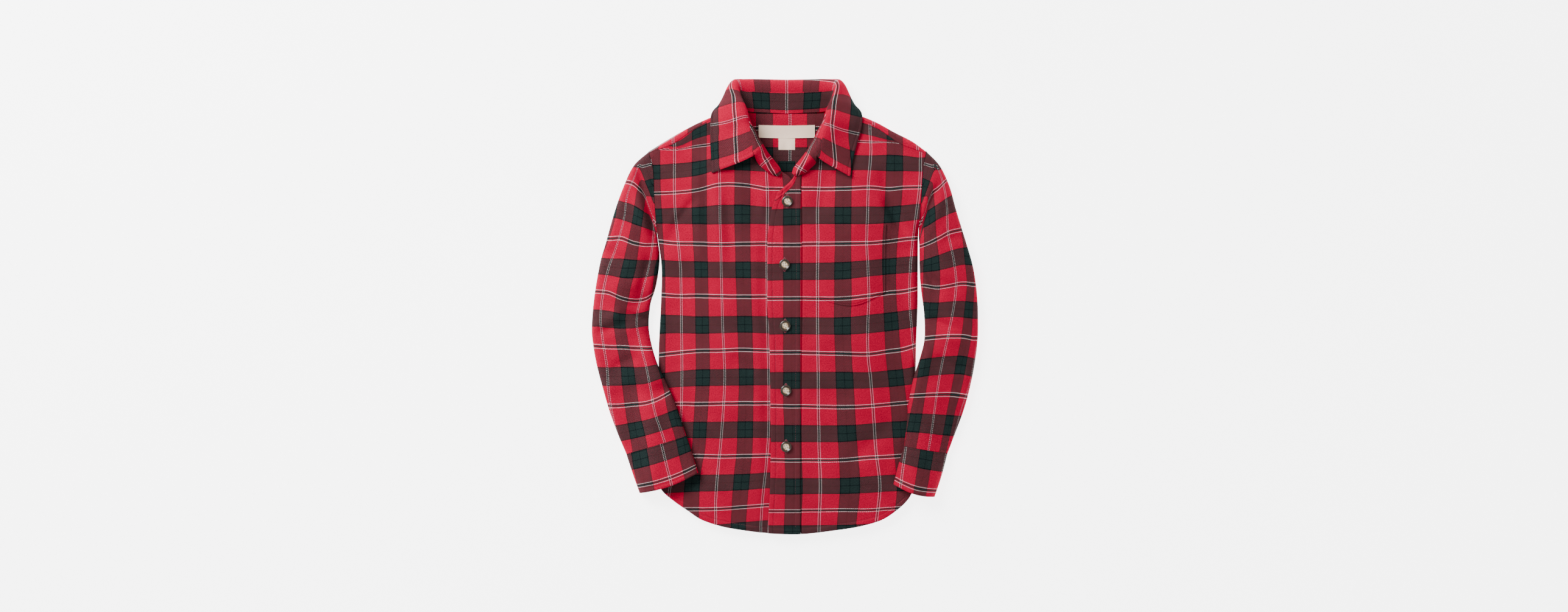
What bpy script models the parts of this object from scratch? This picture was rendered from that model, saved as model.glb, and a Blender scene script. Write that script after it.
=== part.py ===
"""Child's long-sleeved flannel shirt, buttoned and laid flat on its back.

Lengths below are millimetres, written to the scene as metres. +X is the wearer's left,
+Y runs from hem to collar, +Z is up from the surface that the back lies on.
The body is an upper layer (fronts) and a lower layer (back) that meet in rolled folds at the
sides and shoulders. Each sleeve is a flattened tube. Every cloth piece is a closed wall.
"""
import bisect
import math

import bmesh
import bpy

MM = 0.001

# Walls and clearances
SINGLE = 1.5          # one layer of brushed cotton with its nap
DOUBLE = 2.0          # folded and fused pieces: placket, cuffs, collar
LABEL = 1.0           # woven label
SEAM = 0.3            # clearance between neighbouring pieces
LAY = 0.4             # clearance under what lies on a panel
ARMHOLE = 0.5         # clearance at the armhole seams, which curve
LABEL_LAY = 0.8       # clearance under the label, where the yoke rises

# Body
UNDERARM_Y = 82.0     # foot of the armholes
ARMHOLE_RISE = 30.0   # length over which the side fold opens into the armhole
ROLL = 1.1            # roll radius of the folds, as a share of the mid height
SIDE_RISE = 70.0      # from a side fold to the full height of the chest
SHOULDER_RISE = 60.0  # from a shoulder fold to the full height of the chest
YOKE_SEAM_Y = 168.0   # where the back joins the yoke
NECK_MID_X = 1.75     # middle of the collar
NECK_HALF = 52.75     # half width of the neck at the shoulder folds
NECK_TOP_Y = 229.0    # height of the shoulder folds at the neck
NECK_LIFT = 3.2       # the yoke lies this high on the collar leaf
UNDERLAP_X = 10.0     # hidden edge of the right front
UNDERLAP_DIP = 2.0    # the right front drops this far under the placket
UNDERLAP_RUN = 13.5   # and starts to drop this far before its edge
PLACKET_RAISE = 0.9   # the placket stands proud of the left front

# Sleeves
SLEEVE_ROLL = 9.0     # roll radius at the sleeve's folds
REST_GAP = 0.9        # clearance of a forearm over the front it lies on
FOREARM_Y = -30.0     # the sleeves lie on the body below this
CUFF_BOW = 3.6        # how far the upper edge of a cuff bows out

# Collar
STAND_HEIGHT = 25.0   # cloth height of the collar stand
LEAF_SEAM = 0.9       # clearance at the leaf seam, where both walls turn

# Buttons
BUTTON_RADIUS = 6.3
BUTTON_THICK = 2.6
BUTTON_HOLE = 0.9     # radius
BUTTON_PITCH = 1.5    # hole centre to button centre

# Label and tab, inside the yoke
LABEL_SIZE = (65.0, 14.5)
LABEL_CENTRE = (1.75, 202.0)
TAB_SIZE = (19.0, 13.5)
TAB_TOP_Y = 194.2


def table(columns, *rows):
    """Rows of numbers as named columns. The first column is the key, rising."""
    return {name: [row[i] for row in rows] for i, name in enumerate(columns.split())}


# Body outline and heights by y: fold x on either side, mid height, height of the crown
BODY = table(
    "y      left    right  mid  crown",
    (-262, -145.5, 149.0, 5.0, 12.0),
    (-200, -146.0, 149.5, 5.0, 15.0),
    (-120, -146.2, 150.2, 5.0, 19.0),
    (-50, -146.0, 151.0, 5.8, 22.0),
    (0, -143.6, 152.8, 6.8, 23.0),
    (45, -142.6, 153.0, 7.6, 24.0),
    (82, -147.4, 153.4, 8.0, 24.0),
    (100, -149.3, 154.6, 8.0, 24.0),
    (130, -150.7, 156.6, 7.8, 23.5),
    (160, -152.2, 158.7, 7.3, 22.5),
    (180, -157.3, 162.3, 7.0, 22.0),
    (230, -157.3, 162.3, 7.0, 19.5),
)
# Shoulder folds by x
SHOULDER = table(
    "x      y",
    (-158.0, 178.4),
    (-139.3, 190.1),
    (-120.4, 201.3),
    (-98.7, 212.5),
    (-75.0, 222.3),
    (-51.0, NECK_TOP_Y),
    (54.5, NECK_TOP_Y),
    (80.0, 222.3),
    (105.0, 212.5),
    (125.3, 201.3),
    (147.0, 190.1),
    (163.0, 178.4),
)
# Upper edge of the fronts by distance from the middle of the neck: forward seam, then neckline
NECKLINE = table(
    "off    y",
    (5.0, 154.5),
    (8.5, 159.3),
    (15.0, 167.7),
    (22.0, 176.0),
    (27.0, 183.0),
    (31.9, 190.8),
    (36.8, 200.6),
    (42.4, 209.5),
    (47.3, 214.5),
    (52.75, 217.0),
)
FORWARD_SEAM = table(
    "off    y",
    (52.75, 217.0),
    (85.0, 207.5),
    (120.0, 194.5),
    (160.0, 176.6),
)
# Neckline of the yoke by distance from the middle
YOKE_NECK = table(
    "off    y",
    (0.0, 222.6),
    (38.0, 222.8),
    (46.0, 224.2),
    (50.0, 226.4),
    (52.75, NECK_TOP_Y),
)
# Hem by x
HEM = table(
    "x      y",
    (-147.0, -203.0),
    (-142.0, -213.0),
    (-129.0, -224.5),
    (-113.0, -235.5),
    (-97.0, -246.0),
    (-73.0, -254.0),
    (-49.0, -258.3),
    (-18.0, -262.0),
    (20.0, -262.7),
    (64.0, -257.6),
    (88.0, -253.5),
    (111.5, -246.5),
    (128.0, -236.0),
    (140.5, -224.5),
    (147.0, -214.0),
    (150.5, -204.0),
)
# Placket edges by y, and its top edge by x
PLACKET = table(
    "y      left   right",
    (-262, -20.3, 18.0),
    (-184, -16.9, 17.9),
    (-40, -17.9, 18.6),
    (2, -20.6, 19.0),
    (71, -20.6, 19.2),
    (92, -18.9, 19.0),
    (115, -14.7, 18.6),
    (131, -9.1, 18.4),
    (170, -9.1, 18.2),
)
PLACKET_TOP = table(
    "x      y",
    (-9.1, 130.5),
    (0.0, 138.3),
    (9.0, 147.5),
    (14.0, 158.0),
    (18.2, 168.5),
)
UNDERLAP_TOP = table(
    "x      y",
    (-4.0, 155.0),
    (4.2, 149.5),
    (9.8, 141.1),
)
BUTTONS = table(
    "y       x    turn",
    (-161.5, 1.0, 20.0),
    (-96.8, 0.8, 5.0),
    (-22.5, -0.1, 70.0),
    (47.9, -0.8, 8.0),
    (120.5, 2.3, 40.0),
)
# Pocket on the left front: its side columns and its rows are the panel's own
POCKET_TOP_Y = 94.5
POCKET_FOOT_Y = 9.8
POCKET_FOOT = table(
    "x      y",
    (33.6, 9.8),
    (77.0, 0.4),
    (115.5, 15.6),
)

# Sleeves by station: outer fold, inner fold, half thickness and crown
SLEEVE_RIGHT = table(
    "t   ox      oy      ix      iy      half  crown",
    (0, -157.0, 178.9, -147.9, 82.5, 7.2, 1.0),
    (1, -175.0, 162.1, -146.4, 72.5, 7.8, 4.0),
    (2, -187.6, 135.5, -145.0, 60.6, 8.0, 5.5),
    (3, -197.4, 107.5, -145.4, 45.9, 8.0, 6.0),
    (4, -206.5, 75.0, -148.3, 27.0, 8.0, 6.0),
    (5, -213.6, 50.0, -151.2, 15.8, 8.0, 5.5),
    (6, -220.2, 12.0, -155.3, 3.0, 7.5, 5.0),
    (7, -223.2, -22.8, -157.5, -20.0, 7.2, 5.5),
    (8, -221.9, -43.0, -155.2, -39.5, 7.0, 5.5),
    (9, -218.0, -66.0, -147.5, -64.5, 6.5, 5.0),
    (10, -211.6, -91.0, -137.6, -86.5, 6.0, 4.5),
    (11, -203.0, -121.0, -126.8, -110.6, 5.8, 4.0),
    (12, -193.5, -147.0, -119.2, -132.5, 5.6, 3.5),
    (13, -183.6, -170.4, -113.7, -148.9, 5.6, 3.0),
)
SLEEVE_LEFT = table(
    "t   ox      oy      ix      iy      half  crown",
    (0, 162.2, 179.6, 153.9, 82.5, 7.2, 1.0),
    (1, 178.5, 162.1, 154.6, 71.5, 7.8, 4.0),
    (2, 189.8, 138.0, 154.9, 60.6, 8.0, 5.5),
    (3, 197.6, 110.0, 155.0, 47.0, 8.0, 6.0),
    (4, 209.0, 73.0, 155.7, 30.0, 8.0, 6.0),
    (5, 217.0, 44.5, 157.6, 12.5, 8.0, 5.5),
    (6, 221.4, 14.0, 159.6, -2.0, 7.5, 5.0),
    (7, 222.6, -15.0, 160.9, -20.0, 7.2, 5.5),
    (8, 222.2, -38.0, 160.2, -40.5, 7.0, 5.5),
    (9, 219.3, -63.0, 154.0, -62.5, 6.5, 5.0),
    (10, 214.2, -90.0, 147.0, -84.5, 6.0, 4.5),
    (11, 206.5, -119.0, 141.8, -112.0, 5.8, 4.0),
    (12, 196.6, -146.0, 139.4, -140.0, 5.6, 3.5),
    (13, 187.5, -169.9, 136.8, -160.8, 5.6, 3.0),
)
CUFF_RIGHT = table(
    "t   ox      oy      ix      iy      half  crown",
    (0, -183.4, -170.9, -113.4, -149.4, 6.0, 3.0),
    (1, -175.9, -194.0, -106.2, -171.3, 6.0, 3.0),
    (2, -168.2, -215.6, -99.8, -191.3, 6.0, 3.0),
)
CUFF_LEFT = table(
    "t   ox      oy      ix      iy      half  crown",
    (0, 187.6, -170.5, 136.3, -161.4, 6.0, 3.0),
    (1, 180.6, -196.0, 129.8, -183.5, 6.0, 3.0),
    (2, 172.6, -220.0, 124.5, -204.6, 6.0, 3.0),
)

# Collar stations from the end of the stand (0) to the middle of the back (12), as distances
# off the middle of the neck. n: stand seam, r: ridge, m: widest, o: free edge. Where over is 1
# the heights are above the fronts, where it is 0 they are above the table.
COLLAR = table(
    "t   over  nx     ny     nz    rx     ry     rz    mx     my     mz    ox     oy     oz",
    (0, 1, 6.3, 153.0, 0.6, 7.7, 151.4, 3.4, 9.1, 150.4, 3.0, 10.8, 149.8, 0.8),
    (1, 1, 8.4, 159.3, 0.5, 14.0, 155.6, 9.0, 17.0, 154.3, 7.0, 20.0, 153.0, 1.5),
    (2, 1, 15.0, 167.7, 0.5, 20.6, 163.5, 12.0, 24.0, 161.2, 9.0, 27.0, 158.6, 3.0),
    (3, 1, 22.0, 176.0, 0.5, 27.0, 171.2, 13.5, 30.4, 168.0, 10.5, 33.0, 165.0, 4.0),
    (4, 1, 27.0, 183.0, 0.5, 32.0, 178.9, 14.5, 38.5, 172.0, 10.5, 85.8, 152.6, 0.6),
    (5, 1, 31.9, 190.8, 0.5, 36.8, 187.3, 15.5, 54.3, 178.2, 8.5, 86.5, 169.1, 0.6),
    (6, 1, 36.8, 200.6, 0.5, 42.0, 200.6, 17.0, 61.3, 194.3, 10.0, 87.5, 188.0, 0.6),
    (7, 1, 42.4, 210.4, 0.5, 46.4, 215.0, 18.0, 67.5, 209.0, 12.0, 88.0, 206.0, 0.6),
    (8, 0, 47.3, 216.7, 15.4, 49.7, 230.0, 30.0, 74.6, 225.0, 20.5, 86.5, 221.6, 9.5),
    (9, 0, 51.0, 221.2, 11.0, 54.6, 241.2, 25.0, 71.8, 240.0, 13.0, 76.0, 230.5, 3.8),
    (10, 0, 49.5, 228.2, 8.0, 59.0, 253.0, 19.5, 64.6, 254.6, 10.0, 61.5, 232.0, 3.6),
    (11, 0, 42.4, 225.5, 4.4, 47.0, 256.8, 12.6, 49.0, 261.2, 7.2, 45.0, 221.0, 2.6),
    (12, 0, 0.0, 223.1, 3.6, 0.0, 256.4, 10.0, 0.0, 260.6, 6.2, 0.0, 218.8, 2.6),
)
LEAF_FRONT = 4        # station of the leaf's front edge
COLLAR_CLEAR = 1.2    # clearance of the collar over the rolled shoulders
COLLAR_MIDDLE = 12    # station of the middle of the back
# How far the free edge on the wearer's left differs from the mirrored right one
POINT_SHIFT = table(
    "t   dx     dy",
    (3, 0.0, 0.0),
    (4, -12.6, -4.5),
    (5, -11.0, -2.0),
    (6, -7.0, 0.0),
    (7, -2.0, 0.0),
    (8, 0.0, 0.0),
)

# Largest folds of the upper layers: trough (negative) or ridge between two points
FOLDS = table(
    "depth  width  x0      y0      x1      y1",
    (-2.4, 9.0, -171.0, 158.0, -156.0, 96.0),
    (-2.4, 9.0, 173.0, 140.0, 160.0, 92.0),
    (-3.6, 7.0, -186.0, -6.0, -160.0, 10.0),
    (2.4, 9.0, -200.0, 22.0, -166.0, 26.0),
    (-2.6, 7.0, 164.0, 30.0, 198.0, 20.0),
    (-2.4, 8.0, -156.0, -104.0, -134.0, -94.0),
)

# Columns across a panel, as shares of its width from its outer edge; rows are the levels below
SIDE_SHARES = (0.0, 0.007, 0.022, 0.048, 0.095, 0.17, 0.27, 0.38, 0.5, 0.61, 0.7, 0.76, 0.82, 0.9, 1.0)
LEFT_SHARES = (0.0, 0.056, 0.112, 0.233, 0.355, 0.476, 0.598, 0.719, 0.81, 0.9, 0.95, 0.977, 0.993, 1.0)
BACK_SHARES = (0.0, 0.0035, 0.011, 0.024, 0.048, 0.09, 0.17, 0.26, 0.36, 0.45)
TOP_SHARES = (0.0, 0.1, 0.28, 0.6)
FOOT_SHARES = (0.35, 0.7, 1.0)
LEVELS = (125, 110, POCKET_TOP_Y, 82, 60, 35, POCKET_FOOT_Y, -15, -45, -80, -115, -150, -190)
YOKE_SHOULDER = (0.0, 0.03, 0.09, 0.2, 0.34, 0.5, 0.66, 0.84, 1.0)
YOKE_NECK_STEPS = 8
FOLD_SHARES = (0.0, 0.02, 0.06, 0.14, 0.3, 0.6, 1.0)
FLAP_SHARES = (0.0, 0.15, 0.45, 1.0)
RING_STEPS = 12


def ease(t):
    """0 to 1 with level ends."""
    t = min(max(t, 0.0), 1.0)
    return t * t * (3.0 - 2.0 * t)


def read(rows, name, key):
    """A column where the key column is `key`, on a smooth curve through the rows."""
    keys, values = next(iter(rows.values())), rows[name]
    if key <= keys[0]:
        return values[0]
    if key >= keys[-1]:
        return values[-1]
    i = bisect.bisect_right(keys, key) - 1

    def slope(j):
        low, high = max(j - 1, 0), min(j + 1, len(keys) - 1)
        return (values[high] - values[low]) / (keys[high] - keys[low])

    span = keys[i + 1] - keys[i]
    t = (key - keys[i]) / span
    return (values[i] * (1 + 2 * t) * (1 - t) ** 2 + values[i + 1] * t * t * (3 - 2 * t)
            + span * slope(i) * t * (1 - t) ** 2 - span * slope(i + 1) * t * t * (1 - t))


def settle(start, y_at, x_at):
    """The y where a column whose x depends on y meets an edge whose y depends on x."""
    y = start
    for _ in range(8):
        y = y_at(x_at(y))
    return y


# --- body form -------------------------------------------------------------------------------

def front_top(x):
    """Upper edge of the fronts: neckline near the middle, forward seam over the shoulders."""
    if x > NECK_MID_X - 5.75 and x < 9.9:
        return read(UNDERLAP_TOP, "y", x)
    off = abs(x - NECK_MID_X)
    rows = NECKLINE if off < NECK_HALF else FORWARD_SEAM
    return read(rows, "y", off)


def shoulder(x, y):
    """Distance in from the shoulder fold, or from its end at the neck."""
    off = x - NECK_MID_X
    if abs(off) < NECK_HALF:
        corner = NECK_MID_X + math.copysign(NECK_HALF, off)
        return math.hypot(x - corner, y - NECK_TOP_Y)
    slope = (read(SHOULDER, "y", x + 1) - read(SHOULDER, "y", x - 1)) / 2
    return (read(SHOULDER, "y", x) - y) / math.hypot(1.0, slope)


def fold_lift(x, y):
    """Height that the folds give the upper layer here."""
    total = 0.0
    for depth, width, x0, y0, x1, y1 in zip(*FOLDS.values()):
        length = math.hypot(x1 - x0, y1 - y0)
        along = ((x - x0) * (x1 - x0) + (y - y0) * (y1 - y0)) / length ** 2
        across = ((x - x0) * (y1 - y0) - (y - y0) * (x1 - x0)) / length
        if -0.3 < along < 1.3:
            total += depth * math.exp(-(across / width) ** 2) * ease(min(along + 0.3, 1.3 - along) / 0.5)
    return total


def form(x, y):
    """Side lean, shoulder lean, share of the full height, mid height and full height."""
    left, right = read(BODY, "left", y), read(BODY, "right", y)
    mid, crown = read(BODY, "mid", y), read(BODY, "crown", y)
    side = min(x - left, right - x)
    from_shoulder = shoulder(x, y)
    radius = ROLL * mid
    lean = min(max(1 - side / radius, 0.0), 1.0) * (1 - ease((y - UNDERARM_Y) / ARMHOLE_RISE))
    top_lean = min(max(1 - from_shoulder / radius, 0.0), 1.0)
    rise = math.sqrt(1 - lean ** 2) * math.sqrt(1 - top_lean ** 2)
    full = 2 * mid + (crown - 2 * mid) * ease((side - radius) / SIDE_RISE) \
        * ease((from_shoulder - radius) / SHOULDER_RISE)
    towards = -1 if x - left < right - x else 1
    return lean * towards, top_lean, rise, mid, full


def inward(x, y, z, lean, top_lean, rise, depth):
    """A point moved `depth` into the wall from the face whose leans are given."""
    length = math.sqrt(lean ** 2 + top_lean ** 2 + rise ** 2)
    return (x - depth * lean / length, y - depth * top_lean / length, z - depth * rise / length)


def upper(x, y, depth=0.0, offset=0.0):
    """Point of the upper layer; `offset` moves the layer up, `depth` goes into its wall."""
    lean, top_lean, rise, mid, full = form(x, y)
    start = mid + SEAM / 2
    z = start + (full - start + fold_lift(x, y)) * rise + offset
    return inward(x, y, z, lean, top_lean, rise, depth)


def lower(x, y, depth=0.0):
    """Point of the lower layer, whose outer face is down on the table."""
    lean, top_lean, rise, mid, _ = form(x, y)
    off = abs(x - NECK_MID_X)
    lift = NECK_LIFT * ease((y - 195) / 25) * (1 - ease((off - 50) / 30))
    z = (mid - SEAM / 2) * (1 - rise) + lift * rise
    return inward(x, y, z, lean, top_lean, -rise, depth)


def right_front(x, y, depth=0.0):
    """The right front, which dips under the placket."""
    edge = read(PLACKET, "left", y)
    return upper(x, y, depth, -UNDERLAP_DIP * ease((x - edge + UNDERLAP_RUN) / 10))


def placket_band(x, y, depth=0.0):
    return upper(x, y, depth, PLACKET_RAISE)


def collar_rest(x, y):
    """Height of what the collar lies on at the front."""
    if x < NECK_MID_X:
        return right_front(x, y)[2]
    return upper(x, y, offset=PLACKET_RAISE)[2]


# --- mesh helpers ----------------------------------------------------------------------------

def finish(name, points, faces, look):
    """One closed mesh object, in metres, with its material."""
    mesh = bpy.data.meshes.new(name)
    mesh.from_pydata([[c * MM for c in p] for p in points], [], faces)
    bm = bmesh.new()
    bm.from_mesh(mesh)
    bmesh.ops.recalc_face_normals(bm, faces=bm.faces)
    bm.to_mesh(mesh)
    bm.free()
    mesh.shade_smooth()
    mesh.set_sharp_from_angle(angle=math.radians(40))
    mesh.materials.append(look)
    obj = bpy.data.objects.new(name, mesh)
    bpy.context.collection.objects.link(obj)
    return obj


def shell(name, grids, look):
    """Closed wall from grids of (outer point, inner point) pairs; grids share equal points."""
    outer, inner, index, quads = [], [], {}, []
    for grid, closed in grids:
        ids = []
        for row in grid:
            ids.append([])
            for out, into in row:
                key = tuple(round(c, 4) for c in out)
                if key not in index:
                    index[key] = len(outer)
                    outer.append(out)
                    inner.append(into)
                ids[-1].append(index[key])
        for a, b in zip(ids, ids[1:]):
            steps = len(a) if closed else len(a) - 1
            for i in range(steps):
                j = (i + 1) % len(a)
                quads.append((a[i], a[j], b[j], b[i]))
    count = len(outer)
    edges = {}
    for quad in quads:
        for i in range(4):
            edge = (quad[i], quad[(i + 1) % 4])
            edges[edge] = edges.get(edge, 0) + 1
    rim = [(b, a, a + count, b + count) for a, b in edges if (b, a) not in edges]
    inside = [tuple(i + count for i in reversed(quad)) for quad in quads]
    return finish(name, outer + inner, quads + inside + rim, look)


def panel(x_from, x_to, shares, top, foot, layer, wall, levels=LEVELS, top_shares=TOP_SHARES):
    """Grid of a panel between two edges: rows follow its top edge, the levels, then its hem."""
    columns = []
    for share in shares:
        def x_at(y, share=share):
            return x_from(y) + share * (x_to(y) - x_from(y))
        high = settle(170.0, top, x_at)
        low = settle(-240.0, foot, x_at)
        ys = [high + s * (levels[0] - high) for s in top_shares] + list(levels)
        ys += [levels[-1] + s * (low - levels[-1]) for s in FOOT_SHARES]
        columns.append([(layer(x_at(y), y), layer(x_at(y), y, wall)) for y in ys])
    return columns


# --- pieces ----------------------------------------------------------------------------------

def build_fronts(look):
    right = panel(lambda y: read(BODY, "left", y), lambda y: UNDERLAP_X, SIDE_SHARES,
                  lambda x: front_top(x) - SEAM / 2, lambda x: read(HEM, "y", x),
                  right_front, SINGLE)
    shell("front_right", [(right, False)], look)

    left = panel(lambda y: read(PLACKET, "right", y) + SEAM, lambda y: read(BODY, "right", y),
                 LEFT_SHARES, lambda x: front_top(x) - SEAM / 2, lambda x: read(HEM, "y", x),
                 upper, SINGLE)
    shell("front_left", [(left, False)], look)
    return left


def build_placket(look):
    band = panel(lambda y: read(PLACKET, "left", y), lambda y: read(PLACKET, "right", y),
                 (0.0, 0.33, 0.67, 1.0), lambda x: read(PLACKET_TOP, "y", x),
                 lambda x: read(HEM, "y", x), placket_band, DOUBLE + SEAM / 2)
    shell("placket", [(band, False)], look)


def build_pocket(look, front):
    """The pocket is the front's own points between its sides, moved out."""
    inside = [column for column, share in zip(front, LEFT_SHARES) if 0.1 < share < 0.72]
    first = len(TOP_SHARES) + LEVELS.index(POCKET_TOP_Y)
    last = len(TOP_SHARES) + LEVELS.index(POCKET_FOOT_Y)
    grid = []
    for column in inside:
        kept = [out for out, _ in column[first:last + 1]]
        foot = read(POCKET_FOOT, "y", kept[-1][0])
        above, below = kept[-2], kept[-1]
        if foot < below[1]:
            above, below = column[last][0], column[last + 1][0]
        share = (foot - above[1]) / (below[1] - above[1])
        kept[-1] = tuple(a + share * (b - a) for a, b in zip(above, below))
        grid.append([((x, y, z + LAY + SINGLE), (x, y, z + LAY)) for x, y, z in kept])
    shell("pocket", [(grid, False)], look)


def build_back(look):
    shares = BACK_SHARES + tuple(1 - s for s in reversed(BACK_SHARES))
    grid = panel(lambda y: read(BODY, "left", y), lambda y: read(BODY, "right", y), shares,
                 lambda x: YOKE_SEAM_Y - SEAM, lambda x: read(HEM, "y", x) + 1.0, lower, SINGLE)
    shell("back", [(grid, False)], look)


def yoke_columns():
    """x of the yoke's columns: right shoulder, neck, left shoulder."""
    left, right = read(BODY, "left", 200), read(BODY, "right", 200)
    neck = (NECK_MID_X - NECK_HALF, NECK_MID_X + NECK_HALF)
    arm = [left + s * (neck[0] - left) for s in YOKE_SHOULDER]
    middle = [neck[0] + s * (neck[1] - neck[0]) / YOKE_NECK_STEPS for s in range(1, YOKE_NECK_STEPS)]
    return arm, middle, [right + s * (neck[1] - right) for s in reversed(YOKE_SHOULDER)]


def build_yoke(look):
    arm_right, middle, arm_left = yoke_columns()
    low, high = read(BODY, "left", 200), read(BODY, "right", 200)

    def x_for(x, y):
        """Column x, drawn in where the armhole curves in."""
        share = (x - low) / (high - low)
        return read(BODY, "left", y) + share * (read(BODY, "right", y) - read(BODY, "left", y))

    def fold_y(x):
        off = abs(x - NECK_MID_X)
        return read(SHOULDER, "y", x) if off >= NECK_HALF - 0.01 else read(YOKE_NECK, "y", off)

    bottom = []
    for x in arm_right + middle + arm_left:
        top = settle(200.0, fold_y, lambda y, x=x: x_for(x, y))
        column = []
        for share in FOLD_SHARES:
            y = top + share * (YOKE_SEAM_Y - top)
            here = x_for(x, y)
            column.append((fold_point(here, y, lower), fold_point(here, y, lower, SINGLE)))
        bottom.append(column)
    grids = [(bottom, False)]
    for arm in (arm_right, arm_left):
        flap = []
        for x in arm:
            at = (lambda y, x=x: x_for(x, y))
            top = settle(200.0, fold_y, at)
            seam = settle(200.0, lambda x: front_top(x) + SEAM / 2, at)
            flap.append([(fold_point(at(y), y, upper), fold_point(at(y), y, upper, SINGLE))
                         for y in (top + s * (seam - top) for s in FLAP_SHARES)][::-1])
        grids.append((flap, False))
    shell("yoke", grids, look)


def fold_point(x, y, layer, depth=0.0):
    """Point of the yoke: on the fold itself both layers share the mid height."""
    point = layer(x, y, depth)
    off = abs(x - NECK_MID_X)
    if off >= NECK_HALF - 0.01 and shoulder(x, y) < 0.01:
        return (point[0], point[1], form(x, y)[3])
    return point


def body_under(x, y, ramp):
    """Height of what a sleeve lies on: the table, or the front under the forearms."""
    left, right = read(BODY, "left", y), read(BODY, "right", y)
    side = min(x - left, right - x)
    roll = ROLL * read(BODY, "mid", y)
    inset = max(side, roll)
    probe = left + inset if x - left < right - x else right - inset
    height = upper(probe, max(y, -200.0))[2] + REST_GAP
    return height * ease((side + ramp) / ramp) * ease((FOREARM_Y - y) / 30)


def ring(rows, t, wall, bow=0.0, seam_side=None):
    """Ring of a sleeve or cuff at station t: upper half from the outer fold, then lower half."""
    ox, oy, ix, iy = (read(rows, name, t) for name in ("ox", "oy", "ix", "iy"))
    half, crown = read(rows, "half", t), read(rows, "crown", t)
    width = math.hypot(ix - ox, iy - oy)
    ex, ey = (ix - ox) / width, (iy - oy) / width
    down = (ey, -ex) if ox < 0 else (-ey, ex)
    points = []
    for step in range(2 * RING_STEPS):
        top = step <= RING_STEPS
        share = (1 - math.cos(math.pi * step / RING_STEPS)) / 2
        depth = min(share, 1 - share) * width
        lean = min(max(1 - depth / SLEEVE_ROLL, 0.0), 1.0)
        rise = math.sqrt(1 - lean ** 2)
        out = bow * math.sin(math.pi * share) if top else 0.0
        x, y = ox + ex * width * share + out * down[0], oy + ey * width * share + out * down[1]
        if t == 0 and seam_side is not None:
            x = armhole_x(y, seam_side)
        low = body_under(x, y, 16.0)
        if top:
            base = low + (body_under(x, y, 40.0) - low) * rise
            z = base + half + (half + crown * math.sin(math.pi * share) ** 2 + fold_lift(x, y)) * rise
        else:
            z = low + half * (1 - rise)
        if t == 0 and seam_side is not None:
            z = armhole_z(x, y, top, seam_side)
        lean = lean if share < 0.5 else -lean
        turn = rise if top else -rise
        points.append(((x, y, z), (x + wall * lean * ex, y + wall * lean * ey, z - wall * turn)))
    return points


def armhole_x(y, side):
    """x of the sleeve's edge, just outside the body's armhole edge."""
    if side < 0:
        return read(BODY, "left", y) - ARMHOLE
    return read(BODY, "right", y) + ARMHOLE


def armhole_z(x, y, top, side):
    """Height of the body's armhole edge."""
    x_edge = x - side * ARMHOLE
    return upper(x_edge, y)[2] if top else lower(x_edge, y)[2]


def build_sleeve(name, rows, side, look):
    last = rows["t"][-1]
    stations = [0] + [s + h for s in range(0, last) for h in ((0.5, 1.0) if s in (0, 4, 5) else (1.0,))]
    grid = [ring(rows, t, SINGLE, seam_side=side) for t in stations]
    shell(name, [(grid, True)], look)


def build_cuff(name, rows, look):
    grid = [ring(rows, t, DOUBLE, bow=CUFF_BOW * t / 2) for t in (0, 1, 2)]
    shell(name, [(grid, True)], look)


# --- collar ----------------------------------------------------------------------------------

def clear_of_body(x, y, z, gap):
    """Lift or push a point so that it lies outside the shoulders and on the fronts."""
    off = abs(x - NECK_MID_X)
    inside_neck = off < NECK_HALF and y > read(NECKLINE, "y", off)
    from_shoulder = shoulder(x, y)
    radius = ROLL * read(BODY, "mid", y)
    if inside_neck or (off < NECK_HALF and y > NECK_TOP_Y) or from_shoulder < -12:
        return x, y, z
    if from_shoulder >= radius:
        return x, y, max(z, collar_rest(x, y) + gap)
    mid = form(x, y)[3]
    across, up = radius - from_shoulder, (z - mid) * radius / mid
    reach = math.hypot(across, up)
    if reach < radius + COLLAR_CLEAR:
        push = (radius + COLLAR_CLEAR) / max(reach, 0.1)
        y += across * (push - 1)
        z = mid + up * push * mid / radius
    return x, y, z


def collar_section(t, side):
    """Points of the collar's cross-section, from its seam over the ridge to the free edge."""
    over = min(read(COLLAR, "over", t), 1.0)
    points = []
    for letter in "nrmo":
        dx, dy = (read(COLLAR, letter + axis, t) for axis in "xy")
        if side > 0 and letter in "mo":
            share = 1.0 if letter == "o" else 0.5
            dx += share * read(POINT_SHIFT, "dx", t)
            dy += share * read(POINT_SHIFT, "dy", t)
        x = NECK_MID_X + side * dx
        z = read(COLLAR, letter + "z", t)
        if over > 0:
            z += over * collar_rest(x, dy)
        points.append((x, dy, z))
    return points


def spline(points, steps):
    """Evenly spaced points on a smooth curve through a few points, with its length."""
    ends = [tuple(2 * a - b for a, b in zip(points[0], points[1]))] + list(points)
    ends.append(tuple(2 * a - b for a, b in zip(points[-1], points[-2])))
    fine = []
    for a, b, c, d in zip(ends, ends[1:], ends[2:], ends[3:]):
        knots = [0.0]
        for p, q in ((a, b), (b, c), (c, d)):
            knots.append(knots[-1] + max(math.dist(p, q), 0.01) ** 0.5)
        for i in range(12):
            u = knots[1] + (knots[2] - knots[1]) * i / 12
            fine.append(blend_through((a, b, c, d), knots, u))
    fine.append(tuple(points[-1]))
    lengths = [0.0]
    for p, q in zip(fine, fine[1:]):
        lengths.append(lengths[-1] + math.dist(p, q))
    return fine, lengths


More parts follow.
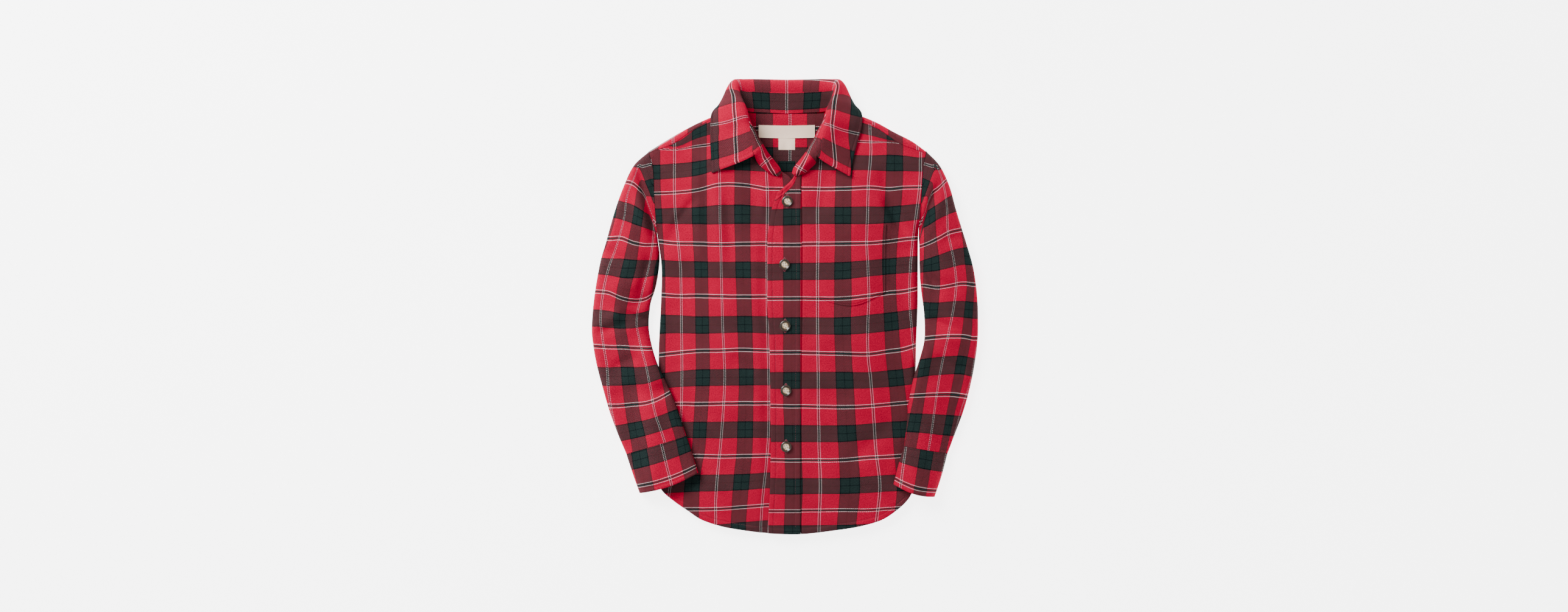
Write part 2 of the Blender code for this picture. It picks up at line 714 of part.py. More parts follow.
def blend_through(points, knots, u):
    """Point at u of the centripetal curve through four points."""
    level = list(points)
    for order in (1, 2, 3):
        following = []
        for i in range(len(level) - 1):
            low = knots[i] if order < 3 else knots[1]
            high = knots[i + order] if order < 3 else knots[2]
            if order == 2:
                low, high = knots[i], knots[i + 2]
            share = (u - low) / (high - low)
            following.append(tuple(p + share * (q - p) for p, q in zip(level[i], level[i + 1])))
        level = following
    return level[0]


def point_at(fine, lengths, distance):
    """Point at a distance along a fine curve."""
    distance = min(max(distance, 0.0), lengths[-1])
    i = min(bisect.bisect_right(lengths, distance) - 1, len(fine) - 2)
    share = (distance - lengths[i]) / max(lengths[i + 1] - lengths[i], 1e-6)
    return tuple(p + share * (q - p) for p, q in zip(fine[i], fine[i + 1]))


def collar_wall(grid, wall, gap):
    """Pairs of visible and hidden points: the hidden face is the section, kept off the body."""
    hidden = [[clear_of_body(*p, gap) for p in row] for row in grid]
    pairs = []
    for i, row in enumerate(hidden):
        pairs.append([])
        for j, p in enumerate(row):
            along = sub(hidden[min(i + 1, len(hidden) - 1)][j], hidden[max(i - 1, 0)][j])
            across = sub(row[min(j + 1, len(row) - 1)], row[max(j - 1, 0)])
            normal = cross(along, across)
            length = math.sqrt(sum(c * c for c in normal))
            pairs[-1].append((tuple(c + wall * n / length for c, n in zip(p, normal)), p))
    return pairs


def sub(p, q):
    return tuple(a - b for a, b in zip(p, q))


def cross(p, q):
    return (p[1] * q[2] - p[2] * q[1], p[2] * q[0] - p[0] * q[2], p[0] * q[1] - p[1] * q[0])


def collar_stations(first, per_station):
    """(side, station) pairs from the wearer's right end round to the left end."""
    count = round((COLLAR_MIDDLE - first) * per_station)
    ts = [first + i / per_station for i in range(count + 1)]
    return [(-1, t) for t in ts] + [(1, t) for t in reversed(ts[:-1])]


def build_collar(stand_look, leaf_look):
    stand = []
    for side, t in collar_stations(0, 1.5):
        fine, lengths = spline(collar_section(t, side), 12)
        height = min(STAND_HEIGHT, lengths[-1])
        stand.append([point_at(fine, lengths, height * s / 4) for s in range(5)])
    shell("collar_stand", [(collar_wall(stand, DOUBLE, LAY), False)], stand_look)

    leaf = []
    for side, t in collar_stations(LEAF_FRONT, 2):
        fine, lengths = spline(collar_section(t, side), 12)
        start = STAND_HEIGHT + LEAF_SEAM
        leaf.append([point_at(fine, lengths, start + (lengths[-1] - start) * s / 7) for s in range(8)])
    shell("collar_leaf", [(collar_wall(leaf, DOUBLE, LAY), False)], leaf_look)


# --- small pieces ----------------------------------------------------------------------------

def build_buttons(look):
    """Turned four-hole buttons with a raised rim, lying on the placket."""
    profile = ((0.0, 0.0), (4.6, 0.0), (BUTTON_RADIUS, 0.9), (BUTTON_RADIUS, 1.9),
               (5.5, BUTTON_THICK), (4.6, 2.2), (3.6, 1.5), (0.0, 1.3))
    sides = 24
    for number, y in enumerate(reversed(BUTTONS["y"]), 1):
        x, turn = read(BUTTONS, "x", y), math.radians(read(BUTTONS, "turn", y))
        z = placket_band(x, y)[2] + SEAM + 0.1
        points = [(x, y, z), (x, y, z + profile[-1][1])]
        for radius, height in profile[1:-1]:
            for i in range(sides):
                angle = 2 * math.pi * i / sides
                points.append((x + radius * math.cos(angle), y + radius * math.sin(angle), z + height))
        rings = len(profile) - 2
        faces = []
        for i in range(sides):
            j = (i + 1) % sides
            faces.append((0, 2 + j, 2 + i))
            faces.append((1, 2 + (rings - 1) * sides + i, 2 + (rings - 1) * sides + j))
            for r in range(rings - 1):
                a, b = 2 + r * sides, 2 + (r + 1) * sides
                faces.append((a + i, a + j, b + j, b + i))
        button = finish("button_%d" % number, points, faces, look)
        for corner in range(4):
            angle = turn + math.radians(45 + 90 * corner)
            hx, hy = x + BUTTON_PITCH * math.cos(angle), y + BUTTON_PITCH * math.sin(angle)
            bpy.ops.mesh.primitive_cylinder_add(vertices=10, radius=BUTTON_HOLE * MM, depth=8 * MM,
                                                location=(hx * MM, hy * MM, (z + 1) * MM))
            drill = bpy.context.object
            drill.name = "drill_%d_%d" % (number, corner)
            drill.hide_render = True
            drill.display_type = "WIRE"
            cut = button.modifiers.new("hole", "BOOLEAN")
            cut.operation = "DIFFERENCE"
            cut.object = drill
        button.data.set_sharp_from_angle(angle=math.radians(50))


def build_labels(look):
    """Woven label and size tab, lying on the inner face of the yoke."""
    for name, (width, height), (cx, top), steps in (
            ("neck_label", LABEL_SIZE, (LABEL_CENTRE[0], LABEL_CENTRE[1] + LABEL_SIZE[1] / 2), 8),
            ("size_tab", TAB_SIZE, (LABEL_CENTRE[0], TAB_TOP_Y), 3)):
        grid = []
        for i in range(steps + 1):
            x = cx + width * (i / steps - 0.5)
            column = []
            for j in range(3):
                y = top - height * j / 2
                floor = lower(x, y, SINGLE)[2] + LABEL_LAY
                column.append(((x, y, floor + LABEL), (x, y, floor)))
            grid.append(column)
        shell(name, [(grid, False)], look)


def material(name, colour, roughness):
    look = bpy.data.materials.new(name)
    look.use_nodes = True
    shader = look.node_tree.nodes["Principled BSDF"]
    shader.inputs["Base Color"].default_value = (*colour, 1.0)
    shader.inputs["Roughness"].default_value = roughness
    shader.inputs["Metallic"].default_value = 0.0
    return look


def main():
    for obj in list(bpy.data.objects):
        bpy.data.objects.remove(obj)
    red = (0.55, 0.02, 0.055)
    dark = (0.2, 0.03, 0.04)
    cream = (0.75, 0.7, 0.6)
    horn = (0.22, 0.16, 0.11)

    left_front = build_fronts(material("red flannel front", red, 0.95))
    build_placket(material("red flannel placket", dark, 0.95))
    build_pocket(material("red flannel pocket", dark, 0.95), left_front)
    build_back(material("red flannel back", red, 0.95))
    build_yoke(material("red flannel yoke", red, 0.95))
    sleeve_look = material("red flannel sleeve", red, 0.95)
    build_sleeve("sleeve_right", SLEEVE_RIGHT, -1, sleeve_look)
    build_sleeve("sleeve_left", SLEEVE_LEFT, 1, sleeve_look)
    cuff_look = material("red flannel cuff", dark, 0.95)
    build_cuff("cuff_right", CUFF_RIGHT, cuff_look)
    build_cuff("cuff_left", CUFF_LEFT, cuff_look)
    build_collar(material("red flannel stand", red, 0.95), material("red flannel collar", dark, 0.95))
    build_buttons(material("horn-effect resin", horn, 0.25))
    build_labels(material("cream woven label", cream, 0.9))


main()
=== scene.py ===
"""Checked flannel shirt for a small child, buttoned and laid flat on its back.

Lengths in the tables and in the forms are millimetres and are written to meshes as metres.
+X is the wearer's left, +Y runs from hem to collar and +Z is up from the floor.
Every cloth piece is a grid laid on the shirt's form, with a UV map that holds its place in the
cloth as woven, in metres, so that the check, the twill and the nap all follow the cloth.
"""
import bisect
import functools
import math

import bpy
from mathutils import Matrix, Vector, noise


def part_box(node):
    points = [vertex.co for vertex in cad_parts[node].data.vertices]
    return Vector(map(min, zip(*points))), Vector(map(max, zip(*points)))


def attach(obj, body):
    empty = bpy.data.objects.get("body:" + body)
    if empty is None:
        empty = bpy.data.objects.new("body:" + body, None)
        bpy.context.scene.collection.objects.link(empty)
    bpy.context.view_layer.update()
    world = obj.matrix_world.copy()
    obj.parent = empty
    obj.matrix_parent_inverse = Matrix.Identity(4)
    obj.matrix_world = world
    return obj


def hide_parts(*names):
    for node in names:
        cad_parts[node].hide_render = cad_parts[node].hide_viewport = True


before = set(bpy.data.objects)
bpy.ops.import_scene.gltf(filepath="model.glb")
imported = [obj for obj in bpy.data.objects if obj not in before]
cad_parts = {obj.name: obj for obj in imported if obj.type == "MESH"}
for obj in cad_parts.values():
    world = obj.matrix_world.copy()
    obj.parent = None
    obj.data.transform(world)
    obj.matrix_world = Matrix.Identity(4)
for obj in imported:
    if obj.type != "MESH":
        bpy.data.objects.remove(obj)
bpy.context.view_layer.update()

bl_info = {
    "name": "Flannel Shirt",
    "version": (1, 0, 0),
    "blender": (4, 5, 0),
    "location": "View3D > Sidebar > Shirt",
    "description": "Builds a checked flannel shirt laid flat, piece by piece",
    "category": "Object",
}

MM = 0.001
BLEND = 3.0           # the yarns' colours are blended as roots of this power
BODY_NAME = "root"


# --- numbers --------------------------------------------------------------------------------------

def table(columns, *rows):
    """Rows of numbers as named columns. The first column is the key, rising."""
    return {name: [row[i] for row in rows] for i, name in enumerate(columns.split())}


# Clearances between the layers
SEAM = 0.3            # between two pieces sewn together
PLACKET_GAP = 0.05    # left front to placket
LAY = 0.4             # pocket and collar to the fronts
ARMHOLE = 0.5         # sleeve to body, in plan
LABEL_LAY = 0.1       # labels to yoke

# Walls
SINGLE = 0.9          # one layer of brushed cotton
DOUBLE = 1.7          # placket, cuffs and collar, folded and fused
YOKE_WALL = 1.4       # yoke, two layers
PANEL = 1.5           # what the solids take for one layer
LABEL_WALL = 0.35

# Body
UNDERARM_Y = 82.0
ARMHOLE_RISE = 30.0   # over which the side fold opens into the armhole
ROLL = 1.1            # radius of the side folds in plan, as a share of the mid height
SIDE_RISE = 70.0      # from the folds to the full height of the crown
SHOULDER_RISE = 60.0
YOKE_SEAM_Y = 168.0
YOKE_STITCH = 2.4     # stitch line to the forward seam
NECK_MID_X = 1.75
NECK_HALF = 52.75
NECK_TOP_Y = 229.0
NECK_LIFT = 3.2       # of the back's upper end, off the floor
NECK_LIFT_Y, NECK_LIFT_RUN = 195.0, 25.0
NECK_LIFT_OFF, NECK_LIFT_FADE = 50.0, 30.0
UNDERLAP_LEFT_X = -4.0
UNDERLAP_X = 10.0
UNDERLAP_DIP = 2.0    # of the right front under the placket, from where and over what run
UNDERLAP_RUN = 13.5
UNDERLAP_RAMP = 10.0

# Unevenness of the cloth: depth and wavelengths across and along
BROAD_WAVES = (0.55, 38.0, 46.0)
FINE_WAVES = (0.16, 13.0, 17.0)

# Placket
PLACKET_RAISE = 0.9
PLACKET_TURN = 8.5    # depth of the turned top edge
PLACKET_CROWN = 0.5
PLACKET_CROWN_RUN = 12.0
PLACKET_MIDDLE_X = 0.5
PLACKET_STRIPE = 29.6 # distance between its upright lines
TURN_LINES = (0.6, 0.5)  # the turned edge's place between the lines, and how fast it moves there
TURN_PULL = (0.2, 0.5)

# Sleeves and cuffs
SLEEVE_ROLL = 9.0
REST_GAP = 0.9
RAMP_UNDER = 16.0     # how far out from the body a sleeve's lower and upper layer meet the floor
RAMP_OVER = 40.0
FOREARM_Y = -30.0     # below it the forearms turn in over the front
FOREARM_RUN = 30.0
FOREARM_END_Y = -200.0
RING_HALF = 40        # faces across a sleeve, on top and again underneath
CUFF_BOW = 3.6
CUFF_DEPTH = 46.0
CUFF_STATIONS = 2

# Collar
COLLAR_DENSITY = 9    # columns between two stations
LEAF_FRONT = 4        # station of the leaf's front edge
COLLAR_MIDDLE = 12    # station of the middle of the back
COLLAR_CLEAR = 1.2    # to the shoulder folds
COLLAR_WALL = 2.0
END_WALL = 0.3        # of it, at the stand's ends
END_WALL_T, END_WALL_RUN = 1.5, 3.5
CURVE_POINTS = 12     # between two points of a cross-section
RELAX_ROUNDS, RELAX = 3, 0.6
STAND_ROWS = 16
LEAF_ROWS = 24        # down to the stitched edge
LEAF_EDGE_ROWS = 20   # over the stitched edge
LEAF_EDGE = 8.0       # width of the stitched edge
EDGE_ROUNDS = 14      # of evening along the free edge

# Folded and stitched edges: soft edge, pad inside the stitches, groove and gathers
EDGE_RUN, EDGE_DROP = 1.4, 0.7
PAD_HEIGHT, PAD_FADE = 0.3, 1.2
GROOVE_WIDTH, GROOVE_DEPTH = 0.8, 0.4
PUCKER_FINE, PUCKER_BROAD = 5.5, 12.0
HEM_BAND = 14.0
PUCKER_FROM, PUCKER_RUN = 8.0, 6.0  # where the gathers fade, from the edge

# Stitching
STITCH_PITCH = 2.6
STITCH_LENGTH = 2.0
STITCH_WIDTH = 0.48
STITCH_HEIGHT = 0.34
STITCH_PROUD = 0.05
STITCH_STEP = 0.5     # between the points that a line of stitches follows
HEM_STITCH = 6.5      # stitch line to hem edge
PLACKET_STITCH = 6.3  # stitch line to placket edge
PLACKET_TOP_STITCH = 5.0
EDGE_STITCH = 4.2     # stitch line to the collar's and cuffs' edges
CUFF_TOP_STITCH = 2.2
POCKET_STITCH = 1.6   # stitch line to pocket edge
POCKET_HEM = 17.0     # stitch line to pocket mouth

# Body outline and heights by y: fold x on either side, mid height, height of the crown
BODY = table(
    "y      left    right  mid  crown",
    (-262, -145.5, 149, 5, 12),
    (-200, -146, 149.5, 5, 15),
    (-120, -146.2, 150.2, 5, 19),
    (-50, -146, 151, 5.8, 22),
    (0, -143.6, 152.8, 6.8, 23),
    (45, -142.6, 153, 7.6, 24),
    (82, -147.4, 153.4, 8, 24),
    (100, -149.3, 154.6, 8, 24),
    (130, -150.7, 156.6, 7.8, 23.5),
    (160, -152.2, 158.7, 7.3, 22.5),
    (180, -157.3, 162.3, 7, 22),
    (230, -157.3, 162.3, 7, 19.5),
)
SHOULDER = table(
    "x      y",
    (-158, 178.4),
    (-139.3, 190.1),
    (-120.4, 201.3),
    (-98.7, 212.5),
    (-75, 222.3),
    (-51, NECK_TOP_Y),
    (54.5, NECK_TOP_Y),
    (80, 222.3),
    (105, 212.5),
    (125.3, 201.3),
    (147, 190.1),
    (163, 178.4),
)
# Upper edge of the fronts by distance from the middle of the neck: neckline, then forward seam
NECKLINE = table(
    "off    y",
    (5, 154.5),
    (8.5, 159.3),
    (15, 167.7),
    (22, 176),
    (27, 183),
    (31.9, 190.8),
    (36.8, 200.6),
    (42.4, 209.5),
    (47.3, 214.5),
    (52.75, 217),
)
FORWARD_SEAM = table(
    "off    y",
    (52.75, 217),
    (72, 218.5),
    (85, 216),
    (100, 208),
    (115, 198),
    (130, 187.5),
    (145, 181.5),
    (160, 176.6),
)
YOKE_NECK = table(
    "off    y",
    (0, 222.6),
    (38, 222.8),
    (46, 224.2),
    (50, 226.4),
    (52.75, NECK_TOP_Y),
)
HEM = table(
    "x      y",
    (-147, -203),
    (-142, -213),
    (-129, -224.5),
    (-113, -235.5),
    (-97, -246),
    (-73, -254),
    (-49, -258.3),
    (-18, -262),
    (20, -262.7),
    (64, -257.6),
    (88, -253.5),
    (111.5, -246.5),
    (128, -236),
    (140.5, -224.5),
    (147, -214),
    (150.5, -204),
)
# Placket edges by y, and its top edge by x
PLACKET = table(
    "y      left   right",
    (-262, -20.3, 18),
    (-184, -16.9, 17.9),
    (-40, -17.9, 18.6),
    (2, -20.6, 19),
    (71, -20.6, 19.2),
    (92, -18.9, 19),
    (115, -14.7, 18.6),
    (131, -9.1, 18.4),
    (170, -9.1, 18.2),
)
PLACKET_TOP = table(
    "x      y",
    (-9.1, 130.5),
    (0, 138.3),
    (9, 147.5),
    (14, 158),
    (18.2, 168.5),
)
UNDERLAP_TOP = table(
    "x      y",
    (-4, 155),
    (4.2, 149.5),
    (9.8, 141.1),
)
BUTTONS = table(
    "y       x    turn",
    (-161.5, 1, 20),
    (-96.8, 0.8, 5),
    (-22.5, -0.1, 70),
    (47.9, -0.8, 8),
    (120.5, 2.3, 40),
)
# Pocket: top edge, share of the left front's width at either side, and foot by x
POCKET_TOP_Y = 94.5
POCKET_SHARES = (0.112, 0.719)
POCKET_LIFT = 1.0
POCKET_FOOT = table(
    "x      y",
    (33.6, 9.8),
    (77, 0.4),
    (115.5, 15.6),
)
# Sleeves by station: outer fold, inner fold, half thickness and crown
SLEEVE_RIGHT = table(
    "t   ox      oy      ix      iy      half  crown",
    (0, -157, 178.9, -147.9, 82.5, 7.2, 1),
    (1, -175, 162.1, -146.4, 72.5, 7.8, 4),
    (2, -187.6, 135.5, -145, 60.6, 8, 5.5),
    (3, -197.4, 107.5, -145.4, 45.9, 8, 6),
    (4, -206.5, 75, -148.3, 27, 8, 6),
    (5, -213.6, 50, -151.2, 15.8, 8, 5.5),
    (6, -220.2, 12, -155.3, 3, 7.5, 5),
    (7, -223.2, -22.8, -157.5, -20, 7.2, 5.5),
    (8, -221.9, -43, -155.2, -39.5, 7, 5.5),
    (9, -218, -66, -147.5, -64.5, 6.5, 5),
    (10, -211.6, -91, -137.6, -86.5, 6, 4.5),
    (11, -203, -121, -126.8, -110.6, 5.8, 4),
    (12, -193.5, -147, -119.2, -132.5, 5.6, 3.5),
    (13, -183.6, -170.4, -113.7, -148.9, 5.6, 3),
)
SLEEVE_LEFT = table(
    "t   ox      oy      ix      iy      half  crown",
    (0, 162.2, 179.6, 153.9, 82.5, 7.2, 1),
    (1, 178.5, 162.1, 154.6, 71.5, 7.8, 4),
    (2, 189.8, 138, 154.9, 60.6, 8, 5.5),
    (3, 197.6, 110, 155, 47, 8, 6),
    (4, 209, 73, 155.7, 30, 8, 6),
    (5, 217, 44.5, 157.6, 12.5, 8, 5.5),
    (6, 221.4, 14, 159.6, -2, 7.5, 5),
    (7, 222.6, -15, 160.9, -20, 7.2, 5.5),
    (8, 222.2, -38, 160.2, -40.5, 7, 5.5),
    (9, 219.3, -63, 154, -62.5, 6.5, 5),
    (10, 214.2, -90, 147, -84.5, 6, 4.5),
    (11, 206.5, -119, 141.8, -112, 5.8, 4),
    (12, 196.6, -146, 139.4, -140, 5.6, 3.5),
    (13, 187.5, -169.9, 136.8, -160.8, 5.6, 3),
)
CUFF_RIGHT = table(
    "t   ox      oy      ix      iy      half  crown",
    (0, -183.57, -170.48, -113.67, -148.98, 6, 3),
    (1, -175.9, -194, -106.2, -171.3, 6, 3),
    (2, -168.2, -215.6, -99.8, -191.3, 6, 3),
)
CUFF_LEFT = table(
    "t   ox      oy      ix      iy      half  crown",
    (0, 187.48, -169.98, 136.78, -160.88, 6, 3),
    (1, 180.6, -196, 129.8, -183.5, 6, 3),
    (2, 172.6, -220, 124.5, -204.6, 6, 3),
)
# Collar stations from the leaf's front edge (4) to the middle of the back (12), as distances off
# the middle of the neck. n: stand seam, r: ridge, m: widest, o: free edge. Where over is 1 the
# heights are above the fronts, where it is 0 they are above the floor.
COLLAR = table(
    "t   over  nx     ny     nz    rx     ry     rz    mx     my     mz    ox     oy     oz",
    (4, 1, 27, 183, 0.5, 32, 178.9, 15.5, 38.5, 172, 13.5, 85.8, 152.6, 1.4),
    (5, 1, 31.9, 190.8, 0.5, 36.8, 187.3, 16, 54.3, 178.2, 10, 86.5, 169.1, 0.6),
    (6, 1, 36.8, 200.6, 0.5, 42, 200.6, 17, 61.3, 194.3, 10, 87.5, 188, 0.6),
    (7, 1, 42.4, 210.4, 0.5, 46.4, 215, 18, 67.5, 209, 12, 88, 206, 0.6),
    (8, 0, 47.3, 216.7, 15.4, 49.7, 230, 30, 74.6, 225, 20.5, 86.5, 221.6, 9.5),
    (9, 0, 51, 221.2, 11, 54.6, 241.2, 25, 71.8, 240, 13, 76, 230.5, 3.8),
    (10, 0, 49.5, 228.2, 8, 58.5, 255.5, 19, 63.8, 257.6, 10, 61.5, 232, 3.6),
    (11, 0, 42.4, 225.5, 4.4, 47, 256.8, 12.6, 49, 261.2, 7.2, 45, 221, 2.6),
    (12, 0, 0, 223.1, 3.6, 0, 256.4, 10, 0, 260.6, 6.2, 0, 218.8, 2.6),
)
# The same for the stand's end (0), which shows in front of the leaf, up to the leaf's front edge
COLLAR_END = table(
    "t   over  nx     ny     nz    rx     ry     rz    mx     my     mz    ox     oy     oz",
    (0, 1, 6.3, 153, 0.6, 7.7, 151.4, 3.4, 9.1, 150.4, 3, 10.8, 149.8, 0.8),
    (1, 1, 8.4, 159.3, 0.5, 14, 155.6, 7, 17, 154.3, 5.4, 20, 153, 1.5),
    (2, 1, 15, 167.7, 0.5, 20.6, 163.5, 9.4, 24, 161.2, 7.2, 27, 158.6, 3),
    (3, 1, 22, 176, 0.5, 27, 171.2, 11.6, 30.4, 168, 9, 33, 165, 4),
    (4, 1, 27, 183, 0.5, 32, 178.9, 15.5, 34.8, 176, 14.9, 37.5, 173.1, 13.8),
)
# Seam between stand and leaf, and the white lines that run along each, as lengths over the cloth
COLLAR_CUT = table(
    "t    seam   stand_right  stand_left  leaf_right  leaf_left",
    (0,   25,  11,        10,       22,       24),
    (2,   25,  14,        9.5,        22,       24),
    (4,   24.5,  13,        7,        22,       24),
    (5,   20.5,  13.5,        8.5,        21.2,       18.6),
    (6,   17.5,  14.5,        9,        19.2,       12.1),
    (7,   16.5,  22,        16,       17.1,       9.6),
    (8,   17,  33,        28,       16.5,       9.8),
    (9,   19.5,  42,        40,       16,       10.1),
    (10,  22.5,  44.9,        44.9,       19.6,       10),
    (12,  25,  44.9,        44.9,       19.6,       19.6),
)
# How far the stand's cross lines move toward its ends
STAND_SLIDE = table(
    "t   right  left",
    (4, 20, 30),
    (5, 20, 30),
    (6, 16, 24),
    (7, 10, 15),
    (8, 4, 6),
    (9, 0, 0),
    (10, 0, 0),
)
# How far the wearer's-left collar point lies from the mirror image of the right one, and what
# share of that the widest and the free points of a cross-section take
LEAF_SHARES, STAND_SHARES = {"m": 0.25, "o": 1.0}, {"m": 0.1, "o": 0.2}
POINT_SHIFT = table(
    "t   dx     dy",
    (3, 0, 0),
    (4, -12.6, -4.5),
    (5, -11, -2),
    (6, -7, 0),
    (7, -2, 0),
    (8, 0, 0),
)

# Soft creases of the upper layers, placed one by one: trough (negative) or ridge between two points
CREASES = table(
    "depth  width  x0      y0      x1      y1",
    (-5, 4.5, -166, 146, -150.5, 84),
    (1.6, 6, -176, 140, -160, 84),
    (-5, 4.5, 174, 134, 156, 84),
    (1.6, 6, 184, 128, 166, 84),
    (-3.6, 7, -186, -6, -160, 10),
    (2.4, 9, -200, 22, -166, 26),
    (-2.6, 7, 164, 30, 198, 20),
    (-2.4, 8, -156, -104, -134, -94),
    (-2.9, 6, -92, 150, -88, 52),
    (2.1, 7, -79, 148, -76, 40),
    (-2.4, 6, -66, 120, -62, 66),
    (-2.6, 7, 112, 150, 128, 96),
    (-2.2, 8, -142, 70, -112, 96),
    (1.6, 9, -138, 52, -100, 60),
    (-2.2, 8, 146, 60, 118, 72),
    (-1.9, 9, -60, -60, -36, -72),
    (1.6, 10, -64, -120, -30, -112),
    (-1.9, 9, 32, -96, 70, -108),
    (1.8, 10, 30, -40, 62, -34),
    (-2.1, 10, -118, -150, -70, -190),
    (-2.1, 10, 118, -140, 76, -178),
    (-2.9, 6, -196, -70, -172, -58),
    (2.2, 8, -206, -96, -176, -84),
    (-2.9, 6, 172, -60, 204, -72),
    (2.2, 8, 170, -94, 206, -106),
    (-2.6, 6, -206, 66, -180, 52),
    (-2.6, 6, 182, 74, 208, 84),
    (-3.4, 5, -158, 52, -166, 18),
    (-4.2, 4.5, -188, -8, -158, -16),
    (-3.2, 5, -214, -30, -182, -20),
    (2.4, 6, -212, -18, -176, -2),
    (-3.2, 5, 162, 44, 176, 14),
    (-3.2, 5, 164, -14, 196, -26),
    (2.2, 6, 166, -28, 204, -42),
    (-3, 5, -128, 92, -104, 124),
    (-3, 5, 136, 88, 116, 118),
    (-2.4, 9, -40, 150, -34, 92),
    (-2.4, 9, 44, 150, 40, 110),
)
CREASE_ROWS = list(zip(*CREASES.values()))

# Lines of the check by panel: the place of each line, every other one the middle of a dark band.
# Stripes are x by y, bars are y by x. The first line's number is an even one at a dark band.
STRIPES_RIGHT = table(
    "y      0     1     2     3    4    5    6",
    (-249.5, -164, -136, -109, -80, -54, -28, -1.5),
    (-221.5, -162.5, -134.5, -108.5, -80, -52, -26, 0),
    (-193.5, -159.5, -130, -106.5, -78, -49.5, -23, 3),
    (-165.5, -154, -123, -100.5, -75, -46.5, -20.5, 5.5),
    (-137.5, -151, -120.5, -98.5, -72.5, -46, -19, 7),
    (-81.5, -148.5, -119, -95, -69.5, -45, -19, 7),
    (-18.5, -147, -119.5, -95.5, -72, -46.5, -20.5, 7),
    (44.5, -147.5, -120.5, -96.5, -73.5, -48.5, -21, 7),
    (72.5, -148.5, -123, -97.5, -74, -49, -21, 7),
    (100.5, -149, -126, -98, -75, -49.5, -20.5, 7),
    (128.5, -150.5, -127.5, -98, -75, -49.5, -20.5, 7),
    (163.5, -152, -127.5, -98, -76, -49, -22, 5),
)
STRIPES_LEFT = table(
    "y      0     1     2    3    4    5",
    (-249.5, 8.5, 39, 70.5, 105, 134.5, 164),
    (-207.5, 10, 40.5, 74.5, 109, 138.5, 168),
    (-165.5, 9, 39, 72.5, 104.5, 135, 163),
    (-137.5, 8.5, 38.5, 70.5, 102.5, 133, 160.5),
    (-109.5, 7.5, 38, 69.5, 100.5, 131, 157),
    (-81.5, 7.5, 38, 68, 98, 128, 152.5),
    (-53.5, 7.5, 37.5, 67, 95, 125, 148.5),
    (-18.5, 7.5, 37, 65.5, 95, 122.5, 145),
    (9.5, 7.5, 37, 66, 96, 120.5, 143),
    (44.5, 7.5, 37, 66, 95, 119.5, 144),
    (72.5, 7.5, 37.5, 66.5, 93.5, 120.5, 146.5),
    (107.5, 7.5, 37, 66.5, 94.5, 123.5, 151),
    (142.5, 8.5, 39, 67, 95.5, 125.5, 155),
    (177.5, 10, 41.5, 68.5, 98.5, 126, 156),
    (205.5, 11, 42, 69.5, 97.5, 126.5, 157.5),
)
BARS_RIGHT = table(
    "x     17     16     15     14     13     12     11     10     9"
    "     8      7      6      5       4       3       2       1       0",
    (-147, 215, 192, 182, 153.5, 130, 104, 75, 44, 13.5,
     -20.5, -56.5, -87, -115, -144.5, -175.5, -207, -236, -263.5),
    (-126, 204, 185, 181, 155, 131, 104.5, 72.5, 43, 12,
     -20.5, -54, -84.5, -112.5, -143, -173, -205.5, -234.5, -262),
    (-101.5, 226, 198, 184.5, 158, 133.5, 104.5, 72, 42.5, 12,
     -22, -51.5, -82.5, -112.5, -142.5, -172.5, -204, -234, -261),
    (-77, 240, 206, 187, 163.5, 139.5, 105, 71, 42, 11.5,
     -21.5, -51, -82, -112, -142.5, -173, -203.5, -233.5, -259.5),
    (-49, 240, 208, 188, 163.5, 139.5, 105.5, 71.5, 42, 11,
     -21, -50, -81.5, -111.5, -142, -172.5, -202.5, -231.5, -256.5),
    (-22.5, 240, 208, 188, 163, 135, 104.5, 72, 41.5, 11,
     -21.5, -51, -81.5, -111.5, -142, -172, -200.5, -229.5, -254.5),
)
BARS_LEFT = table(
    "x     17     16     15     14     13     12     11     10     9"
    "     8      7      6      5       4       3       2       1       0",
    (19, 240, 209, 191.5, 166, 135, 104.5, 71.5, 40, 9,
     -22.5, -53.5, -85.5, -115, -146.5, -177.5, -207, -235.5, -260),
    (66.5, 240, 208.5, 191, 165.5, 135, 104.5, 72, 41, 9,
     -22.5, -54.5, -85, -116, -146.5, -177, -207, -235, -259.5),
    (96, 232, 201.4, 189.5, 165, 136.5, 104.5, 72.5, 44, 12,
     -20, -55, -85, -115, -144.5, -174.5, -205.5, -235, -258),
    (119, 222, 192.8, 189.5, 164.5, 135, 105.5, 74.5, 46, 15.5,
     -18, -52, -83.5, -113, -142.5, -173.5, -204, -233.5, -256.5),
    (136.5, 215, 191, 188, 164, 136.5, 107, 77, 47.5, 17,
     -15.5, -49.5, -82, -111.5, -142, -172.5, -204, -232.5, -256),
    (152.5, 215, 187.5, 184.5, 163, 137, 109, 78.5, 48.5, 20.5,
     -13.5, -44.5, -79.5, -109.5, -140.5, -172, -203.5, -232, -255),
)
BARS_PLACKET = table(
    "x    13   12   11    10  9   8    7    6      5      4       3     2       1     0",
    (-14, 131, 102, 70.5, 39, 9, -23, -53, -85.5, -114.5, -146.5, -177, -207, -236, -259.5),
    (7, 132, 103, 70.5, 40, 9, -22.5, -53, -85.5, -115, -146.5, -177.5, -207.5, -236, -259.5),
)
